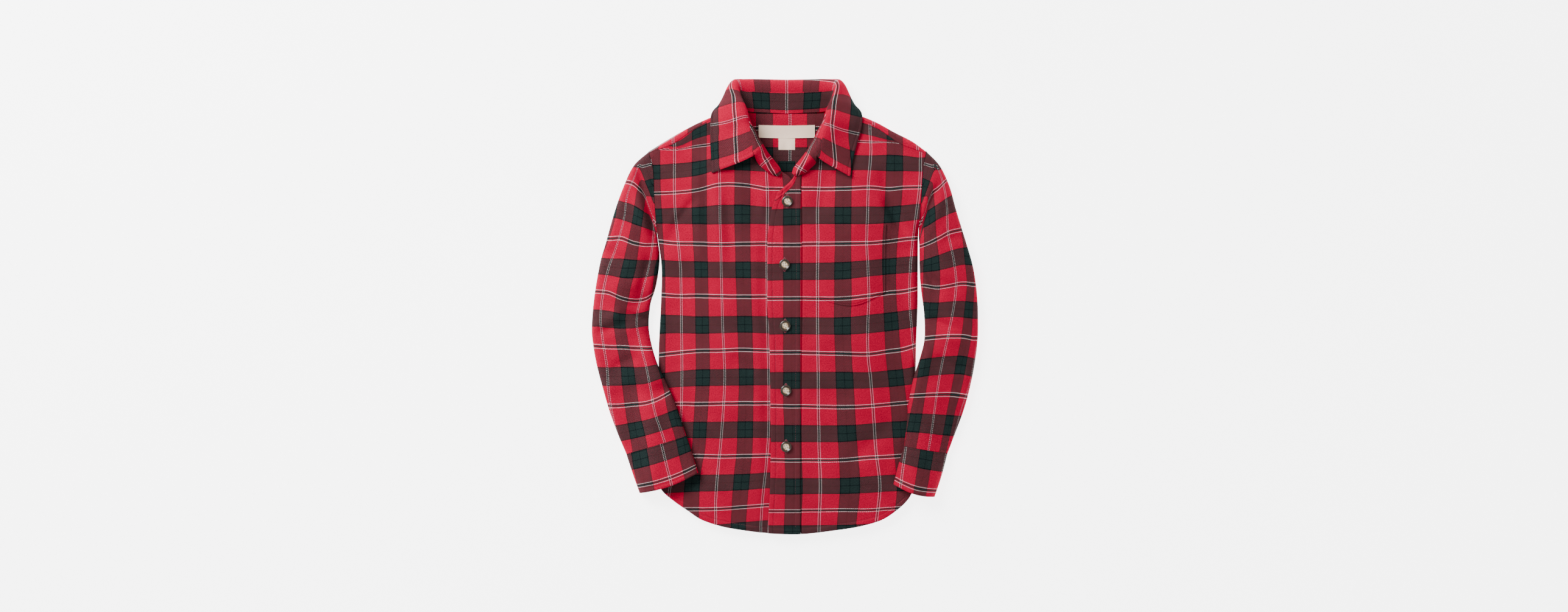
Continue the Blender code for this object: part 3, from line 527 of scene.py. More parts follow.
STRIPES_SLEEVE_RIGHT = table(
    "y      1     2     3     4",
    (-165.5, -190.5, -168, -135, -116),
    (-144.5, -195.5, -171.5, -142, -122),
    (-123.5, -199.5, -175.5, -149, -127.5),
    (-95.5, -203.5, -179, -154.5, -133),
    (-67.5, -205.5, -182, -160, -140),
    (-39.5, -210, -187.5, -167.5, -148.5),
    (-15, -212.5, -190.5, -171, -151),
    (16.5, -209.5, -186, -164.5, -147.5),
    (44.5, -203, -180, -157, -147),
    (72.5, -193, -175, -152.5, -137),
    (100.5, -185.5, -170, -150.5, -134.5),
    (128.5, -181.5, -166, -148.5, -133),
    (153, -172, -161, -145.5, -130),
    (169, -168, -155.5, -140, -126),
)
STRIPES_SLEEVE_LEFT = table(
    "y      2     3    4    5",
    (-169, 141.5, 164, 182, 190.5),
    (-144.5, 146.5, 168, 187.5, 196),
    (-116.5, 152, 172, 193, 203.5),
    (-88.5, 157, 176, 199.5, 213),
    (-60.5, 161.5, 181.5, 204.5, 218.5),
    (-32.5, 166, 187.5, 209.5, 223.5),
    (-4.5, 166.5, 193, 211.5, 224),
    (23.5, 168, 196.5, 214, 225.5),
    (51.5, 168, 194, 212, 225.5),
    (86.5, 166.5, 187, 210, 224),
    (114.5, 165, 186, 204.5, 218.5),
    (142.5, 162.5, 181.5, 197.5, 211.5),
    (169, 157.5, 172, 186, 201.5),
)
BARS_SLEEVE_RIGHT = table(
    "x     12    11    10    9    8    7    6     5    4    3    2    1",
    (-217, 169, 148, 118, 81, 46.5, 17, -13.5, -46, -81, -115, -151.5, -181),
    (-203, 169, 146.5, 114.5, 78, 45, 15.5, -15, -47, -81, -115, -149, -178),
    (-189, 169, 144.5, 110, 78.5, 44, 9.5, -16.5, -47, -80.5, -114.5, -146, -176),
    (-175, 169, 141, 105.5, 73, 44, 6.5, -16, -48, -80, -113, -143, -173),
    (-161, 167.5, 129, 99, 70.5, 44.5, 8, -13, -48.5, -79, -111.5, -139.5, -170),
    (-147, 165, 121.5, 92, 71, 44.5, 16.5, -9, -48.5, -75, -107, -135.5, -165),
    (-126, 162, 114.5, 86.5, 69.5, 44.5, 19, -6, -49.5, -70.5, -95.5, -129, -157),
)
BARS_SLEEVE_LEFT = table(
    "x     12    11    10    9    8    7    6     5    4    3    2    1",
    (143.5, 162, 121.5, 95, 66, 41.5, 25, -4.5, -39, -74, -103, -133, -172),
    (161, 165, 127, 100.5, 71, 46.5, 23.5, -4.5, -37, -70.5, -102, -134, -174),
    (175, 166, 135, 109, 77.5, 50, 21.5, -4, -35.5, -69, -101.5, -135.5, -176),
    (189, 167.5, 148, 116, 85, 54, 23.5, -3, -34.5, -68, -101.5, -137, -178),
    (203, 169, 153.5, 121.5, 88.5, 57.5, 26, -3, -34.5, -67.5, -103, -138, -179),
    (217, 169, 156.5, 125.5, 92, 57.5, 25, -4.5, -37, -70.5, -106, -140.5, -181),
)
# Check on the sleeve caps, along the armhole seam by share of its length from the shoulder
CAP = table(
    "share u    v",
    (0, 0.5, 12.27),
    (0.16, 1, 12.22),
    (0.42, 2, 12),
    (0.63, 2.5, 11.69),
    (0.87, 3, 11),
    (1, 3.3, 10.6),
)
# Check on the cuffs: x of each stripe at the upper edge and at the hem, and how far below the
# upper edge the first two bars are
CUFF_STRIPES_RIGHT = table(
    "t   1     2     3     4",
    (0, -196, -168, -142, -118),
    (2, -186, -160, -130, -108),
)
CUFF_STRIPES_LEFT = table(
    "t   3     4     5",
    (0, 139, 163, 186),
    (2, 132, 154, 176),
)
CUFF_BARS_RIGHT = (9.0, 37.0)
CUFF_BARS_LEFT = (9.0, 39.0)
# Check on the yoke, as cut: places of its first lines and the distances between them
YOKE_STRIPE_X, YOKE_STRIPE = 5.5, 29.5
YOKE_BAR_Y, YOKE_BAR = 174.0, 32.0
# On the flaps: spread of the cloth, distance between the stripes, and by side the first stripe
# off the neck and the first bar in from the shoulder, which on the right runs out at the neck
FLAP_SPREAD, FLAP_STRIPE = 1.16, 29.3
FLAP_RIGHT = {"start": 32.2, "bar": 31.0, "splay": 7.0}
FLAP_LEFT = {"start": 55.0, "bar": 16.0, "splay": 0.0}
FLAP_SPLAY_FROM, FLAP_SPLAY_RUN = 75.0, 30.0
FLAP_ROLL, FLAP_MID = 7.7, 7.0      # radius and half height of the shoulder fold
FLAP_EASE = 2.0

# On the back: how far a bar is from the middle of the shirt
BACK_CHECK_Y = 22.5
# On the sleeve caps: drift of the lines per station, and the line that the left cap's run from
CAP_DRIFT_U, CAP_DRIFT_V = 0.35, 0.8
CAP_LEFT_U = 4.0

# Labels on the inside of the yoke: size, upper edge, sag at the middle, lift off the yoke
LABELS = table(
    "name          width height top    sag  lift columns",
    ("neck_label", 65, 14.5, 209.2, 0.6, 0.5, 40),
    ("size_tab", 19, 14, 195, 0, 0, 16),
)
LABEL_ROWS = 10

# Buttons: rings of the turned profile, from the underside to the dished middle, as shares of
# the radius and the thickness
BUTTON_PROFILE = table(
    "radius thick",
    (0.74, 0),
    (0.93, 0.12),
    (1, 0.34),
    (1, 0.66),
    (0.965, 0.86),
    (0.9, 0.98),
    (0.83, 1),
    (0.76, 0.94),
    (0.69, 0.8),
    (0.62, 0.66),
    (0.52, 0.58),
    (0.3, 0.55),
)
BUTTON_FLOOR = 0.55   # height of the dished middle, as a share of the thickness
STRAND_GAP = 0.36     # between the two strands of a thread bar
BUTTONHOLE_LENGTH = 16.4
BUTTONHOLE_WIDTH = 2.7
# Ends of the visible lines of stitching: x on the hem, y on the placket
HEM_RIGHT_ENDS, HEM_LEFT_ENDS = (-140.0, 12.0), (20.0, 144.0)
PLACKET_LEFT_ENDS, PLACKET_RIGHT_ENDS = (-254.0, 128.0), (-254.0, 158.0)

# Stage, in metres; lights: name, size, share of the key power, place
FLOOR_SIZE = 12.0
FLOOR_Z = -0.0004     # just below what lies on it
CAMERA_PLACE = (-0.0014, 0.00035)
SENSOR_WIDTH = 36.0   # millimetres
CLOTH_HEIGHT = 0.018  # where the frame width is measured
LIGHTS = (
    ("key light", 1.3, 1.0, (-1.3, 1.3, 1.6)),
    ("fill light", 2.5, 0.25, (1.2, -1.0, 2.4)),
)

# Yarns of the check and its weave, in metres
CENTRE_YARN = 0.0007  # black line down the middle of a dark band
EDGE_YARN = 0.0012    # black edges of a dark band
WHITE_YARN = 0.0008
WARP_CORE = 0.0005    # green between the two white lines, from the middle out
WEFT_CORE = 0.0011
WANDER = 0.0007


def ease(t):
    """0 to 1 with level ends."""
    t = min(max(t, 0.0), 1.0)
    return t * t * (3.0 - 2.0 * t)


def curve_at(keys, values, key):
    """Value at `key` on a smooth curve through (key, value) pairs with rising keys."""
    if key <= keys[0]:
        return values[0]
    if key >= keys[-1]:
        return values[-1]
    i = bisect.bisect_right(keys, key) - 1
    span = keys[i + 1] - keys[i]
    low, high = max(i - 1, 0), min(i + 2, len(keys) - 1)
    slope_a = (values[i + 1] - values[low]) / (keys[i + 1] - keys[low])
    slope_b = (values[high] - values[i]) / (keys[high] - keys[i])
    t = (key - keys[i]) / span
    return (values[i] * (1 + 2 * t) * (1 - t) ** 2 + values[i + 1] * t * t * (3 - 2 * t)
            + span * slope_a * t * (1 - t) ** 2 - span * slope_b * t * t * (1 - t))


def read(rows, name, key):
    """A column of a table where its key column is `key`."""
    return curve_at(next(iter(rows.values())), rows[name], key)


def settle(start, y_at, x_at):
    """The y where a column whose x depends on y meets an edge whose y depends on x."""
    y = start
    for _ in range(8):
        y = y_at(x_at(y))
    return y


def steps(*parts):
    """Rising values from (start, end, count) parts laid end to end."""
    values = []
    for start, end, count in parts:
        values += [start + (end - start) * i / count for i in range(count)]
    return values + [parts[-1][1]]


# --- form of the body -----------------------------------------------------------------------------

def left_side(y):
    return read(BODY, "left", y)


def right_side(y):
    return read(BODY, "right", y)


def sides(y):
    """x of the two side folds."""
    return left_side(y), right_side(y)


def hem_y(x):
    return read(HEM, "y", x)


def placket_left(y):
    return read(PLACKET, "left", y)


def placket_right(y):
    return read(PLACKET, "right", y)


def placket_seam(y):
    """Edge of the left front, beside the placket."""
    return placket_right(y) + PLACKET_GAP


def front_top(x):
    """Upper edge of the fronts: neckline near the middle, forward seam over the shoulders."""
    if UNDERLAP_LEFT_X < x < UNDERLAP_X - 0.1:
        return read(UNDERLAP_TOP, "y", x)
    off = abs(x - NECK_MID_X)
    return read(NECKLINE if off < NECK_HALF else FORWARD_SEAM, "y", off)


def front_seam(x):
    """Upper edge of the fronts' cloth, half a seam's clearance below the yoke's flaps."""
    return front_top(x) - SEAM / 2


def shoulder(x, y):
    """Distance in from the shoulder fold, or from its end at the neck."""
    off = x - NECK_MID_X
    if abs(off) < NECK_HALF:
        corner = NECK_MID_X + math.copysign(NECK_HALF, off)
        return math.hypot(x - corner, y - NECK_TOP_Y)
    slope = (read(SHOULDER, "y", x + 1) - read(SHOULDER, "y", x - 1)) / 2
    return (read(SHOULDER, "y", x) - y) / math.hypot(1.0, slope)


def crease_lift(x, y):
    """Height that the listed creases give the upper layer here."""
    total = 0.0
    for depth, width, x0, y0, x1, y1 in CREASE_ROWS:
        length2 = (x1 - x0) ** 2 + (y1 - y0) ** 2
        along = ((x - x0) * (x1 - x0) + (y - y0) * (y1 - y0)) / length2
        if not -0.3 < along < 1.3:
            continue
        across = ((x - x0) * (y1 - y0) - (y - y0) * (x1 - x0)) / math.sqrt(length2) / width
        if abs(across) < 3:
            total += depth * math.exp(-across ** 2) * ease(min(along + 0.3, 1.3 - along) / 0.5)
    return total


def slack(x, y, seed=0.0):
    """The cloth's own small unevenness: broad soft waves with a little handling creasing."""
    return sum(depth * noise.noise((x / across, y / along, seed + shift))
               for (depth, across, along), shift in ((BROAD_WAVES, 0.0), (FINE_WAVES, 7.0)))


def form(x, y):
    """Side lean, shoulder lean, share of the full height, mid height and full height."""
    left, right = sides(y)
    mid, crown = read(BODY, "mid", y), read(BODY, "crown", y)
    side = min(x - left, right - x)
    from_shoulder = shoulder(x, y)
    radius = ROLL * mid
    lean = min(max(1 - side / radius, 0.0), 1.0) * (1 - ease((y - UNDERARM_Y) / ARMHOLE_RISE))
    top_lean = min(max(1 - from_shoulder / radius, 0.0), 1.0)
    rise = math.sqrt(1 - lean ** 2) * math.sqrt(1 - top_lean ** 2)
    full = 2 * mid + (crown - 2 * mid) * ease((side - radius) / SIDE_RISE) \
        * ease((from_shoulder - radius) / SHOULDER_RISE)
    towards = -1 if x - left < right - x else 1
    return lean * towards, top_lean, rise, mid, full


def upper(x, y, offset=0.0):
    """Point of the upper layer, moved up by `offset`."""
    _, _, rise, mid, full = form(x, y)
    start = mid + SEAM / 2
    return (x, y, start + (full - start + crease_lift(x, y) + slack(x, y)) * rise + offset)


def lower(x, y, depth=0.0):
    """Point of the lower layer, `depth` above its outer face, which is down on the floor."""
    lean, top_lean, rise, mid, _ = form(x, y)
    off = abs(x - NECK_MID_X)
    lift = NECK_LIFT * ease((y - NECK_LIFT_Y) / NECK_LIFT_RUN)
    lift *= 1 - ease((off - NECK_LIFT_OFF) / NECK_LIFT_FADE)
    z = (mid - SEAM / 2) * (1 - rise) + lift * rise
    length = math.sqrt(lean ** 2 + top_lean ** 2 + rise ** 2)
    return (x - depth * lean / length, y - depth * top_lean / length, z + depth * rise / length)


def right_front(x, y):
    """The right front, which dips under the placket."""
    return upper(x, y, -UNDERLAP_DIP * ease((x - placket_left(y) + UNDERLAP_RUN) / UNDERLAP_RAMP))


def placket_band(x, y, offset=0.0):
    """Point of the placket, which is slightly crowned between its two rows of stitching."""
    crown = PLACKET_CROWN * math.cos((x - PLACKET_MIDDLE_X) / PLACKET_CROWN_RUN)
    return upper(x, y, PLACKET_RAISE + crown + offset)


def collar_rest(x, y):
    """Height of what the collar lies on at the front."""
    if x < NECK_MID_X:
        return right_front(x, y)[2]
    return upper(x, y, PLACKET_RAISE)[2]


def roll_run(depth, radius, height):
    """Extra cloth that a fold of this radius takes up beyond its plan, from `depth` in."""
    lean = min(max(1 - depth / radius, 0.0), 1.0)
    mean = math.sqrt((radius ** 2 + height ** 2) / 2)
    return mean * math.asin(lean) - radius * lean


# --- place in the cloth ---------------------------------------------------------------------------

def line_number(rows, key, at, rising=True):
    """Where `at` falls among a panel's check lines, as a number that runs on past them."""
    names = list(rows)[1:]
    if not rising:
        names = names[::-1]
    places = [read(rows, name, key) for name in names]
    numbers = [int(name) for name in names]
    if at < places[0]:
        return numbers[0] - (places[0] - at) / (places[1] - places[0]) * (numbers[1] - numbers[0])
    if at > places[-1]:
        run = (at - places[-1]) / (places[-1] - places[-2])
        return numbers[-1] + run * (numbers[-1] - numbers[-2])
    return curve_at(places, numbers, at)


def woven(across, along):
    """Place in the cloth, in millimetres, from the numbers of its lines."""
    cloth = bpy.context.scene.shirt_cloth
    return across * cloth.sett_across / 2 / MM, along * cloth.sett_along / 2 / MM


def weave_at(stripes, bars, x, y):
    """Place in the cloth of a point seen from above at (x, y)."""
    return woven(line_number(stripes, y, x), line_number(bars, x, y, rising=False))


def body_weave(stripes, bars, x, y):
    """As weave_at, with the cloth that the side and shoulder folds take up."""
    across, along = weave_at(stripes, bars, x, y)
    left, right = sides(y)
    mid = read(BODY, "mid", y)
    closed = 1 - ease((y - UNDERARM_Y) / ARMHOLE_RISE)
    across -= roll_run(x - left, ROLL * mid, mid) * closed
    across += roll_run(right - x, ROLL * mid, mid) * closed
    along += roll_run(shoulder(x, y), ROLL * mid, mid)
    return across, along


# --- sheets ---------------------------------------------------------------------------------------

def select(*pieces):
    """Selects these objects and no others, in object mode, with the first one active."""
    if bpy.context.object and bpy.context.object.mode != "OBJECT":
        bpy.ops.object.mode_set(mode="OBJECT")
    bpy.ops.object.select_all(action="DESELECT")
    for piece in pieces:
        piece.select_set(True)
    if pieces:
        bpy.context.view_layer.objects.active = pieces[0]


def lay_grid(name, cloth):
    """A grid primitive whose points are laid at cloth[column][row] = (point, place in cloth)."""
    select()
    across, down = len(cloth), len(cloth[0])
    bpy.ops.mesh.primitive_grid_add(x_subdivisions=across - 1, y_subdivisions=down - 1, size=2)
    sheet = bpy.context.object
    sheet.name = sheet.data.name = name
    weaves = []
    for vertex in sheet.data.vertices:
        i = round((vertex.co.x + 1) / 2 * (across - 1))
        j = round((vertex.co.y + 1) / 2 * (down - 1))
        point, weave = cloth[i][j]
        vertex.co = [c * MM for c in point]
        weaves.append([w * MM for w in weave])
    place = sheet.data.uv_layers.active
    place.name = "cloth"
    for loop in sheet.data.loops:
        place.data[loop.index].uv = weaves[loop.vertex_index]
    return sheet


def join(pieces, name):
    """Joins objects into the first one, under one name."""
    select(*pieces)
    bpy.ops.object.join()
    pieces[0].name = pieces[0].data.name = name
    return pieces[0]


def weld(sheet):
    """Closes a sheet where its edges meet."""
    select(sheet)
    bpy.ops.object.mode_set(mode="EDIT")
    bpy.ops.mesh.select_all(action="SELECT")
    bpy.ops.mesh.remove_doubles(threshold=0.02 * MM)
    bpy.ops.object.mode_set(mode="OBJECT")
    return sheet


def apply_modifiers(piece):
    select(piece)
    for modifier in list(piece.modifiers):
        bpy.ops.object.modifier_apply(modifier=modifier.name)


def shade_by_angle(piece, degrees):
    select(piece)
    bpy.ops.object.shade_smooth_by_angle(angle=math.radians(degrees))


def finish_cloth(sheet, node, wall, look):
    """Gives a sheet its wall, inwards from its outer face, smooth shading and its look, in place
    of a CAD node."""
    solidify = sheet.modifiers.new("wall", "SOLIDIFY")
    solidify.thickness = wall * MM
    solidify.offset = -1.0
    apply_modifiers(sheet)
    sheet.data.shade_smooth()
    shade_by_angle(sheet, 50)
    dress(sheet, look, [node])
    return sheet


def cloth_piece(node, cloth, wall, look):
    """A cloth piece in place of a CAD node, from the grid of points of its outer face."""
    return finish_cloth(lay_grid(node, cloth), node, wall, look)


def dress(piece, look, nodes):
    """Gives a finished piece its material, its body and the nodes it replaces."""
    piece.data.materials.clear()
    piece.data.materials.append(look)
    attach(piece, BODY_NAME)
    if nodes:
        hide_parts(*nodes)


def groove(distance, width, depth):
    """Height of a narrow groove, such as a seam or a line of stitches presses in."""
    return -depth * math.exp(-(distance / width) ** 2)


def stitched_edge(distance, line, depth=GROOVE_DEPTH):
    """Height of folded and stitched cloth by distance from its edge: soft edge, pad, groove."""
    edge = -EDGE_DROP * (1 - distance / EDGE_RUN) ** 2 if distance < EDGE_RUN else 0.0
    pad = PAD_HEIGHT * ease(distance / EDGE_RUN) * (1 - ease((distance - line + PAD_FADE) / PAD_FADE))
    return edge + pad + groove(distance - line, GROOVE_WIDTH, depth)


def pucker(run, seed, depth):
    """Small uneven gathers along a stitched seam."""
    fine = noise.noise((run / PUCKER_FINE, seed, 0.5))
    broad = noise.noise((run / PUCKER_BROAD, seed, 3.5))
    return depth * (fine + broad)


def hem_relief(x, y):
    """Double-turned hem: a stitched band along the lower edge."""
    distance = y - hem_y(x)
    if distance > HEM_BAND:
        return 0.0
    fade = 1 - ease((distance - PUCKER_FROM) / PUCKER_RUN)
    return stitched_edge(distance, HEM_STITCH) + pucker(x, 1.0, 0.3) * fade


# --- body pieces ----------------------------------------------------------------------------------

def panel(x_from, x_to, shares, top, foot, rows, place):
    """Columns of a panel between two edges; rows are shares from its foot to its top edge."""
    columns = []
    for share in shares:
        def x_at(y, share=share):
            return x_from(y) + share * (x_to(y) - x_from(y))
        high, low = settle(0.0, top, x_at), settle(0.0, foot, x_at)
        ys = [low + row * (high - low) for row in rows]
        columns.append([place(x_at(y), y) for y in ys])
    return columns


def make_fronts(look):
    def on_right(x, y):
        px, py, pz = right_front(x, y)
        return (px, py, pz + hem_relief(x, y)), body_weave(STRIPES_RIGHT, BARS_RIGHT, x, y)

    def on_left(x, y):
        px, py, pz = upper(x, y)
        seam = groove(x - placket_right(y), 1.2, 0.7)
        return (px, py, pz + hem_relief(x, y) + seam), body_weave(STRIPES_LEFT, BARS_LEFT, x, y)

    rows = steps((0.0, 0.02, 10), (0.02, 0.04, 6), (0.04, 1.0, 150))
    shares = steps((0.0, 0.06, 12), (0.06, 0.84, 50), (0.84, 1.0, 14))
    cloth = panel(left_side, lambda y: UNDERLAP_X, shares, front_seam, hem_y, rows, on_right)
    right = cloth_piece("front_right", cloth, SINGLE, look)

    shares = steps((0.0, 0.04, 8), (0.04, 0.94, 58), (0.94, 1.0, 12))
    cloth = panel(placket_seam, right_side, shares, front_seam, hem_y, rows, on_left)
    left = cloth_piece("front_left", cloth, SINGLE, look)


def make_placket(look):
    def placket_top(x):
        return read(PLACKET_TOP, "y", x)

    def on_placket(x, y):
        free, seam = x - placket_left(y), placket_right(y) - x
        top, foot = placket_top(x) - y, y - hem_y(x)
        relief = stitched_edge(free, PLACKET_STITCH) + stitched_edge(seam, PLACKET_STITCH, 0.3)
        relief += pucker(y, 2.0, 0.18) * (1 - ease((free - PUCKER_FROM) / PUCKER_RUN))
        relief += stitched_edge(top, PLACKET_TOP_STITCH, 0.25) + stitched_edge(foot, HEM_STITCH)
        relief += 0.5 * (1 - ease((top - PLACKET_TURN + 1.5) / 1.5))
        stripe = (x - read(STRIPES_LEFT, "0", y)) / PLACKET_STRIPE
        across, along = woven(stripe, line_number(BARS_PLACKET, x, y, rising=False))
        if top < PLACKET_TURN:
            # the turned top edge shows the red of the cloth, which is about half way between lines
            across, along = woven(*TURN_LINES)
            across += TURN_PULL[0] * x
            along += TURN_PULL[1] * top
        return placket_band(x, y, relief), (across, along)

    shares = steps((0.0, 0.26, 14), (0.26, 0.74, 8), (0.74, 1.0, 14))
    rows = steps((0.0, 0.02, 10), (0.02, 0.04, 6), (0.04, 0.97, 150), (0.97, 1.0, 12))
    cloth = panel(placket_left, placket_right, shares, placket_top, hem_y, rows, on_placket)
    placket = cloth_piece("placket", cloth, DOUBLE, look)


def make_pocket(look):
    def foot(x):
        return read(POCKET_FOOT, "y", x)

    def edge(share):
        return lambda y: placket_seam(y) + share * (right_side(y) - placket_seam(y))

    start, end = (edge(share) for share in POCKET_SHARES)

    def on_pocket(x, y):
        near, mouth = min(x - start(y), end(y) - x, y - foot(x)), POCKET_TOP_Y - y
        relief = stitched_edge(near, POCKET_STITCH, 0.6) + stitched_edge(mouth, POCKET_HEM, 0.25)
        relief += 0.5 * ease(near / 25) + 0.35 * (1 - ease(mouth / 20))
        relief += pucker(y + x, 4.0, 0.15) * (1 - ease(near / 8))
        across, along = body_weave(STRIPES_LEFT, BARS_LEFT, x, y)
        # the pocket is cut with its twill running the other way
        return upper(x, y, LAY + POCKET_LIFT + relief), (-across, along)

    shares = steps((0.0, 0.05, 8), (0.05, 0.95, 36), (0.95, 1.0, 8))
    rows = steps((0.0, 0.05, 8), (0.05, 0.95, 36), (0.95, 1.0, 6))
    cloth = panel(start, end, shares, lambda x: POCKET_TOP_Y, foot, rows, on_pocket)
    pocket = cloth_piece("pocket", cloth, SINGLE, look)


def make_back(look):
    def on_back(x, y):
        left, right = sides(y)
        mid = read(BODY, "mid", y)
        across = x - roll_run(x - left, ROLL * mid, mid) + roll_run(right - x, ROLL * mid, mid)
        return lower(x, y), (across - NECK_MID_X, y + BACK_CHECK_Y)

    shares = steps((0.0, 0.05, 12), (0.05, 0.95, 44), (0.95, 1.0, 12))[::-1]
    cloth = panel(left_side, right_side, shares, lambda x: YOKE_SEAM_Y - 0.05, lambda x: hem_y(x) + 1.0,
                  steps((0.0, 1.0, 90)), on_back)
    back = cloth_piece("back", cloth, PANEL, look)


def make_yoke(look):
    low, high = sides(200)

    def column_at(x):
        """Line of the yoke's column x, drawn in where the armhole curves in."""
        share = (x - low) / (high - low)
        return lambda y: left_side(y) + share * (right_side(y) - left_side(y))

    def past_neck(x):
        return abs(x - NECK_MID_X) >= NECK_HALF - 0.01

    def fold_y(x):
        return read(SHOULDER, "y", x) if past_neck(x) else read(YOKE_NECK, "y", abs(x - NECK_MID_X))

    def fold_point(x, y, layer):
        point = layer(x, y)
        if past_neck(x) and shoulder(x, y) < 0.01:
            return (point[0], point[1], form(x, y)[3])
        return point

    def inner_weave(x, y):
        return woven((x - YOKE_STRIPE_X) / YOKE_STRIPE + 1, (y - YOKE_BAR_Y) / YOKE_BAR)

    def flap_weave(x, y, side, cut):
        """The flaps are cut along the shoulder: one way of the check runs with the fold."""
        off = abs(x - NECK_MID_X) - NECK_HALF
        across = woven((off * FLAP_SPREAD - cut["start"]) / FLAP_STRIPE + 1, 0.0)[0]
        depth = max(shoulder(x, y), 0.0)
        run = depth + FLAP_EASE - roll_run(depth, FLAP_ROLL, FLAP_MID)
        splay = cut["splay"] * ease((FLAP_SPLAY_FROM - off) / FLAP_SPLAY_RUN)
        return side * across, run + cut["bar"] + splay

    neck = (NECK_MID_X - NECK_HALF, NECK_MID_X + NECK_HALF)
    arm = steps((0.0, 0.1, 6), (0.1, 1.0, 34))
    arm_right = [low + s * (neck[0] - low) for s in arm]
    arm_left = [high + s * (neck[1] - high) for s in arm][::-1]
    middle = [neck[0] + s * (neck[1] - neck[0]) for s in steps((0.0, 1.0, 40))][1:-1]

    bottom = []
    for x in (arm_right + middle + arm_left)[::-1]:
        x_at = column_at(x)
        top = settle(200.0, fold_y, x_at)
        bottom.append([])
        for share in steps((0.0, 0.75, 14), (0.75, 1.0, 16)):
            y = YOKE_SEAM_Y + share * (top - YOKE_SEAM_Y)
            bottom[-1].append((fold_point(x_at(y), y, lower), inner_weave(x_at(y), y)))
    grids = [lay_grid("yoke", bottom)]
    for arm, side, cut in ((arm_right, -1, FLAP_RIGHT), (arm_left, 1, FLAP_LEFT)):
        flap = []
        for x in arm:
            x_at = column_at(x)
            top = settle(200.0, fold_y, x_at)
            seam = settle(200.0, lambda x: front_top(x) + SEAM / 2, x_at)
            flap.append([])
            for share in steps((0.0, 0.6, 10), (0.6, 1.0, 10)):
                y = seam + share * (top - seam)
                px, py, pz = fold_point(x_at(y), y, upper)
                relief = groove(y - seam, 0.9, 0.5) + groove(y - seam - YOKE_STITCH, 0.7, 0.3)
                flap[-1].append(((px, py, pz + relief * (1 - share)), flap_weave(px, py, side, cut)))
        grids.append(lay_grid("yoke_flap", flap))
    yoke = finish_cloth(weld(join(grids, "yoke")), "yoke", YOKE_WALL, look)


# --- sleeves and cuffs ----------------------------------------------------------------------------

def body_under(x, y, ramp):
    """Height of what a sleeve lies on: the floor, or the front under the forearms."""
    left, right = sides(y)
    side = min(x - left, right - x)
    inset = max(side, ROLL * read(BODY, "mid", y))
    probe = left + inset if x - left < right - x else right - inset
    height = upper(probe, max(y, FOREARM_END_Y))[2] + REST_GAP
    return height * ease((side + ramp) / ramp) * ease((FOREARM_Y - y) / FOREARM_RUN)


def tube_ring(rows, t, relief, bow=0.0, seam_side=None):
    """Points round a sleeve or cuff at station t, from the inner fold over the top and back. With
    a seam_side, the first ring lies just outside the body's armhole edge on that side."""
    ox, oy, ix, iy = (read(rows, name, t) for name in ("ox", "oy", "ix", "iy"))
    half, crown = read(rows, "half", t), read(rows, "crown", t)
    width = math.hypot(ix - ox, iy - oy)
    ex, ey = (ix - ox) / width, (iy - oy) / width
    down = (ey, -ex) if ox < 0 else (-ey, ex)
    at_armhole = t == 0 and seam_side is not None
    points = []
    for step in range(2 * RING_HALF + 1):
        top = step <= RING_HALF
        share = (1 + math.cos(math.pi * step / RING_HALF)) / 2
        depth = min(share, 1 - share) * width
        lean = min(max(1 - depth / SLEEVE_ROLL, 0.0), 1.0)
        rise = math.sqrt(1 - lean ** 2)
        out = bow * math.sin(math.pi * share) if top else 0.0
        x, y = ox + ex * width * share + out * down[0], oy + ey * width * share + out * down[1]
        if at_armhole:
            edge = (left_side if seam_side < 0 else right_side)(y)
            x = edge + seam_side * ARMHOLE
            z = (upper if top else lower)(edge, y)[2]
        else:
            z = body_under(x, y, RAMP_UNDER)
            if top:
                z += (body_under(x, y, RAMP_OVER) - z) * rise
                lift = crown * math.sin(math.pi * share) ** 2 + crease_lift(x, y) + relief(x, y)
                z += half + (half + lift) * rise
            else:
                z += half * (1 - rise)
        points.append(((x, y, z), share, top, depth, half, width))
    return points


def tube_weave(place, ring, outward):
    """Place in the cloth round a ring. It is seen from above on top, and its length along the
    tube's skin counts underneath; the two ends meet at the seam on the inner fold."""
    cloth = []
    fold = 0.0
    for (x, y, z), share, top, depth, half, width in ring:
        across, along = place(x, y, share)
        folded = roll_run(depth, SLEEVE_ROLL, half)
        if top:
            across += outward * folded * (1 if share < 0.5 else -1)
            fold = across
        else:
            run = share * width + roll_run(0.0, SLEEVE_ROLL, half) - (folded if share < 0.5 else 0.0)
            across = fold + outward * run
        cloth.append(((x, y, z), (across, along)))
    return cloth


def make_tube(name, stations, ring_at, side, wall, look):
    """A closed sleeve or cuff, built up from its rings."""
    cloth = [ring_at(t) for t in stations]
    tube = weld(lay_grid(name, cloth[::-1] if side < 0 else cloth))
    return finish_cloth(tube, name, wall, look)


def make_sleeves(look):
    for name, rows, side, stripes, bars in (
            ("sleeve_right", SLEEVE_RIGHT, -1, STRIPES_SLEEVE_RIGHT, BARS_SLEEVE_RIGHT),
            ("sleeve_left", SLEEVE_LEFT, 1, STRIPES_SLEEVE_LEFT, BARS_SLEEVE_LEFT)):
        def ring_at(t):
            def place(x, y, share):
                across, along = weave_at(stripes, bars, x, y)
                cap = ease((1.0 - t) / 0.5)
                if cap > 0:
                    u = read(CAP, "u", share) + CAP_DRIFT_U * t
                    v = read(CAP, "v", share) - CAP_DRIFT_V * t
                    u, v = woven(u if side < 0 else CAP_LEFT_U - u, v)
                    across += cap * (u - across)
                    along += cap * (v - along)
                return across, along

            ring = tube_ring(rows, t, lambda x, y: slack(x, y, 11.0 + side), seam_side=side)
            return tube_weave(place, ring, side)

        stations = steps((0.0, 0.4, 8), (0.4, 1.2, 20), (1.2, 12.0, 104), (12.0, 13.0, 14))
        sleeve = make_tube(name, stations, ring_at, side, SINGLE, look)


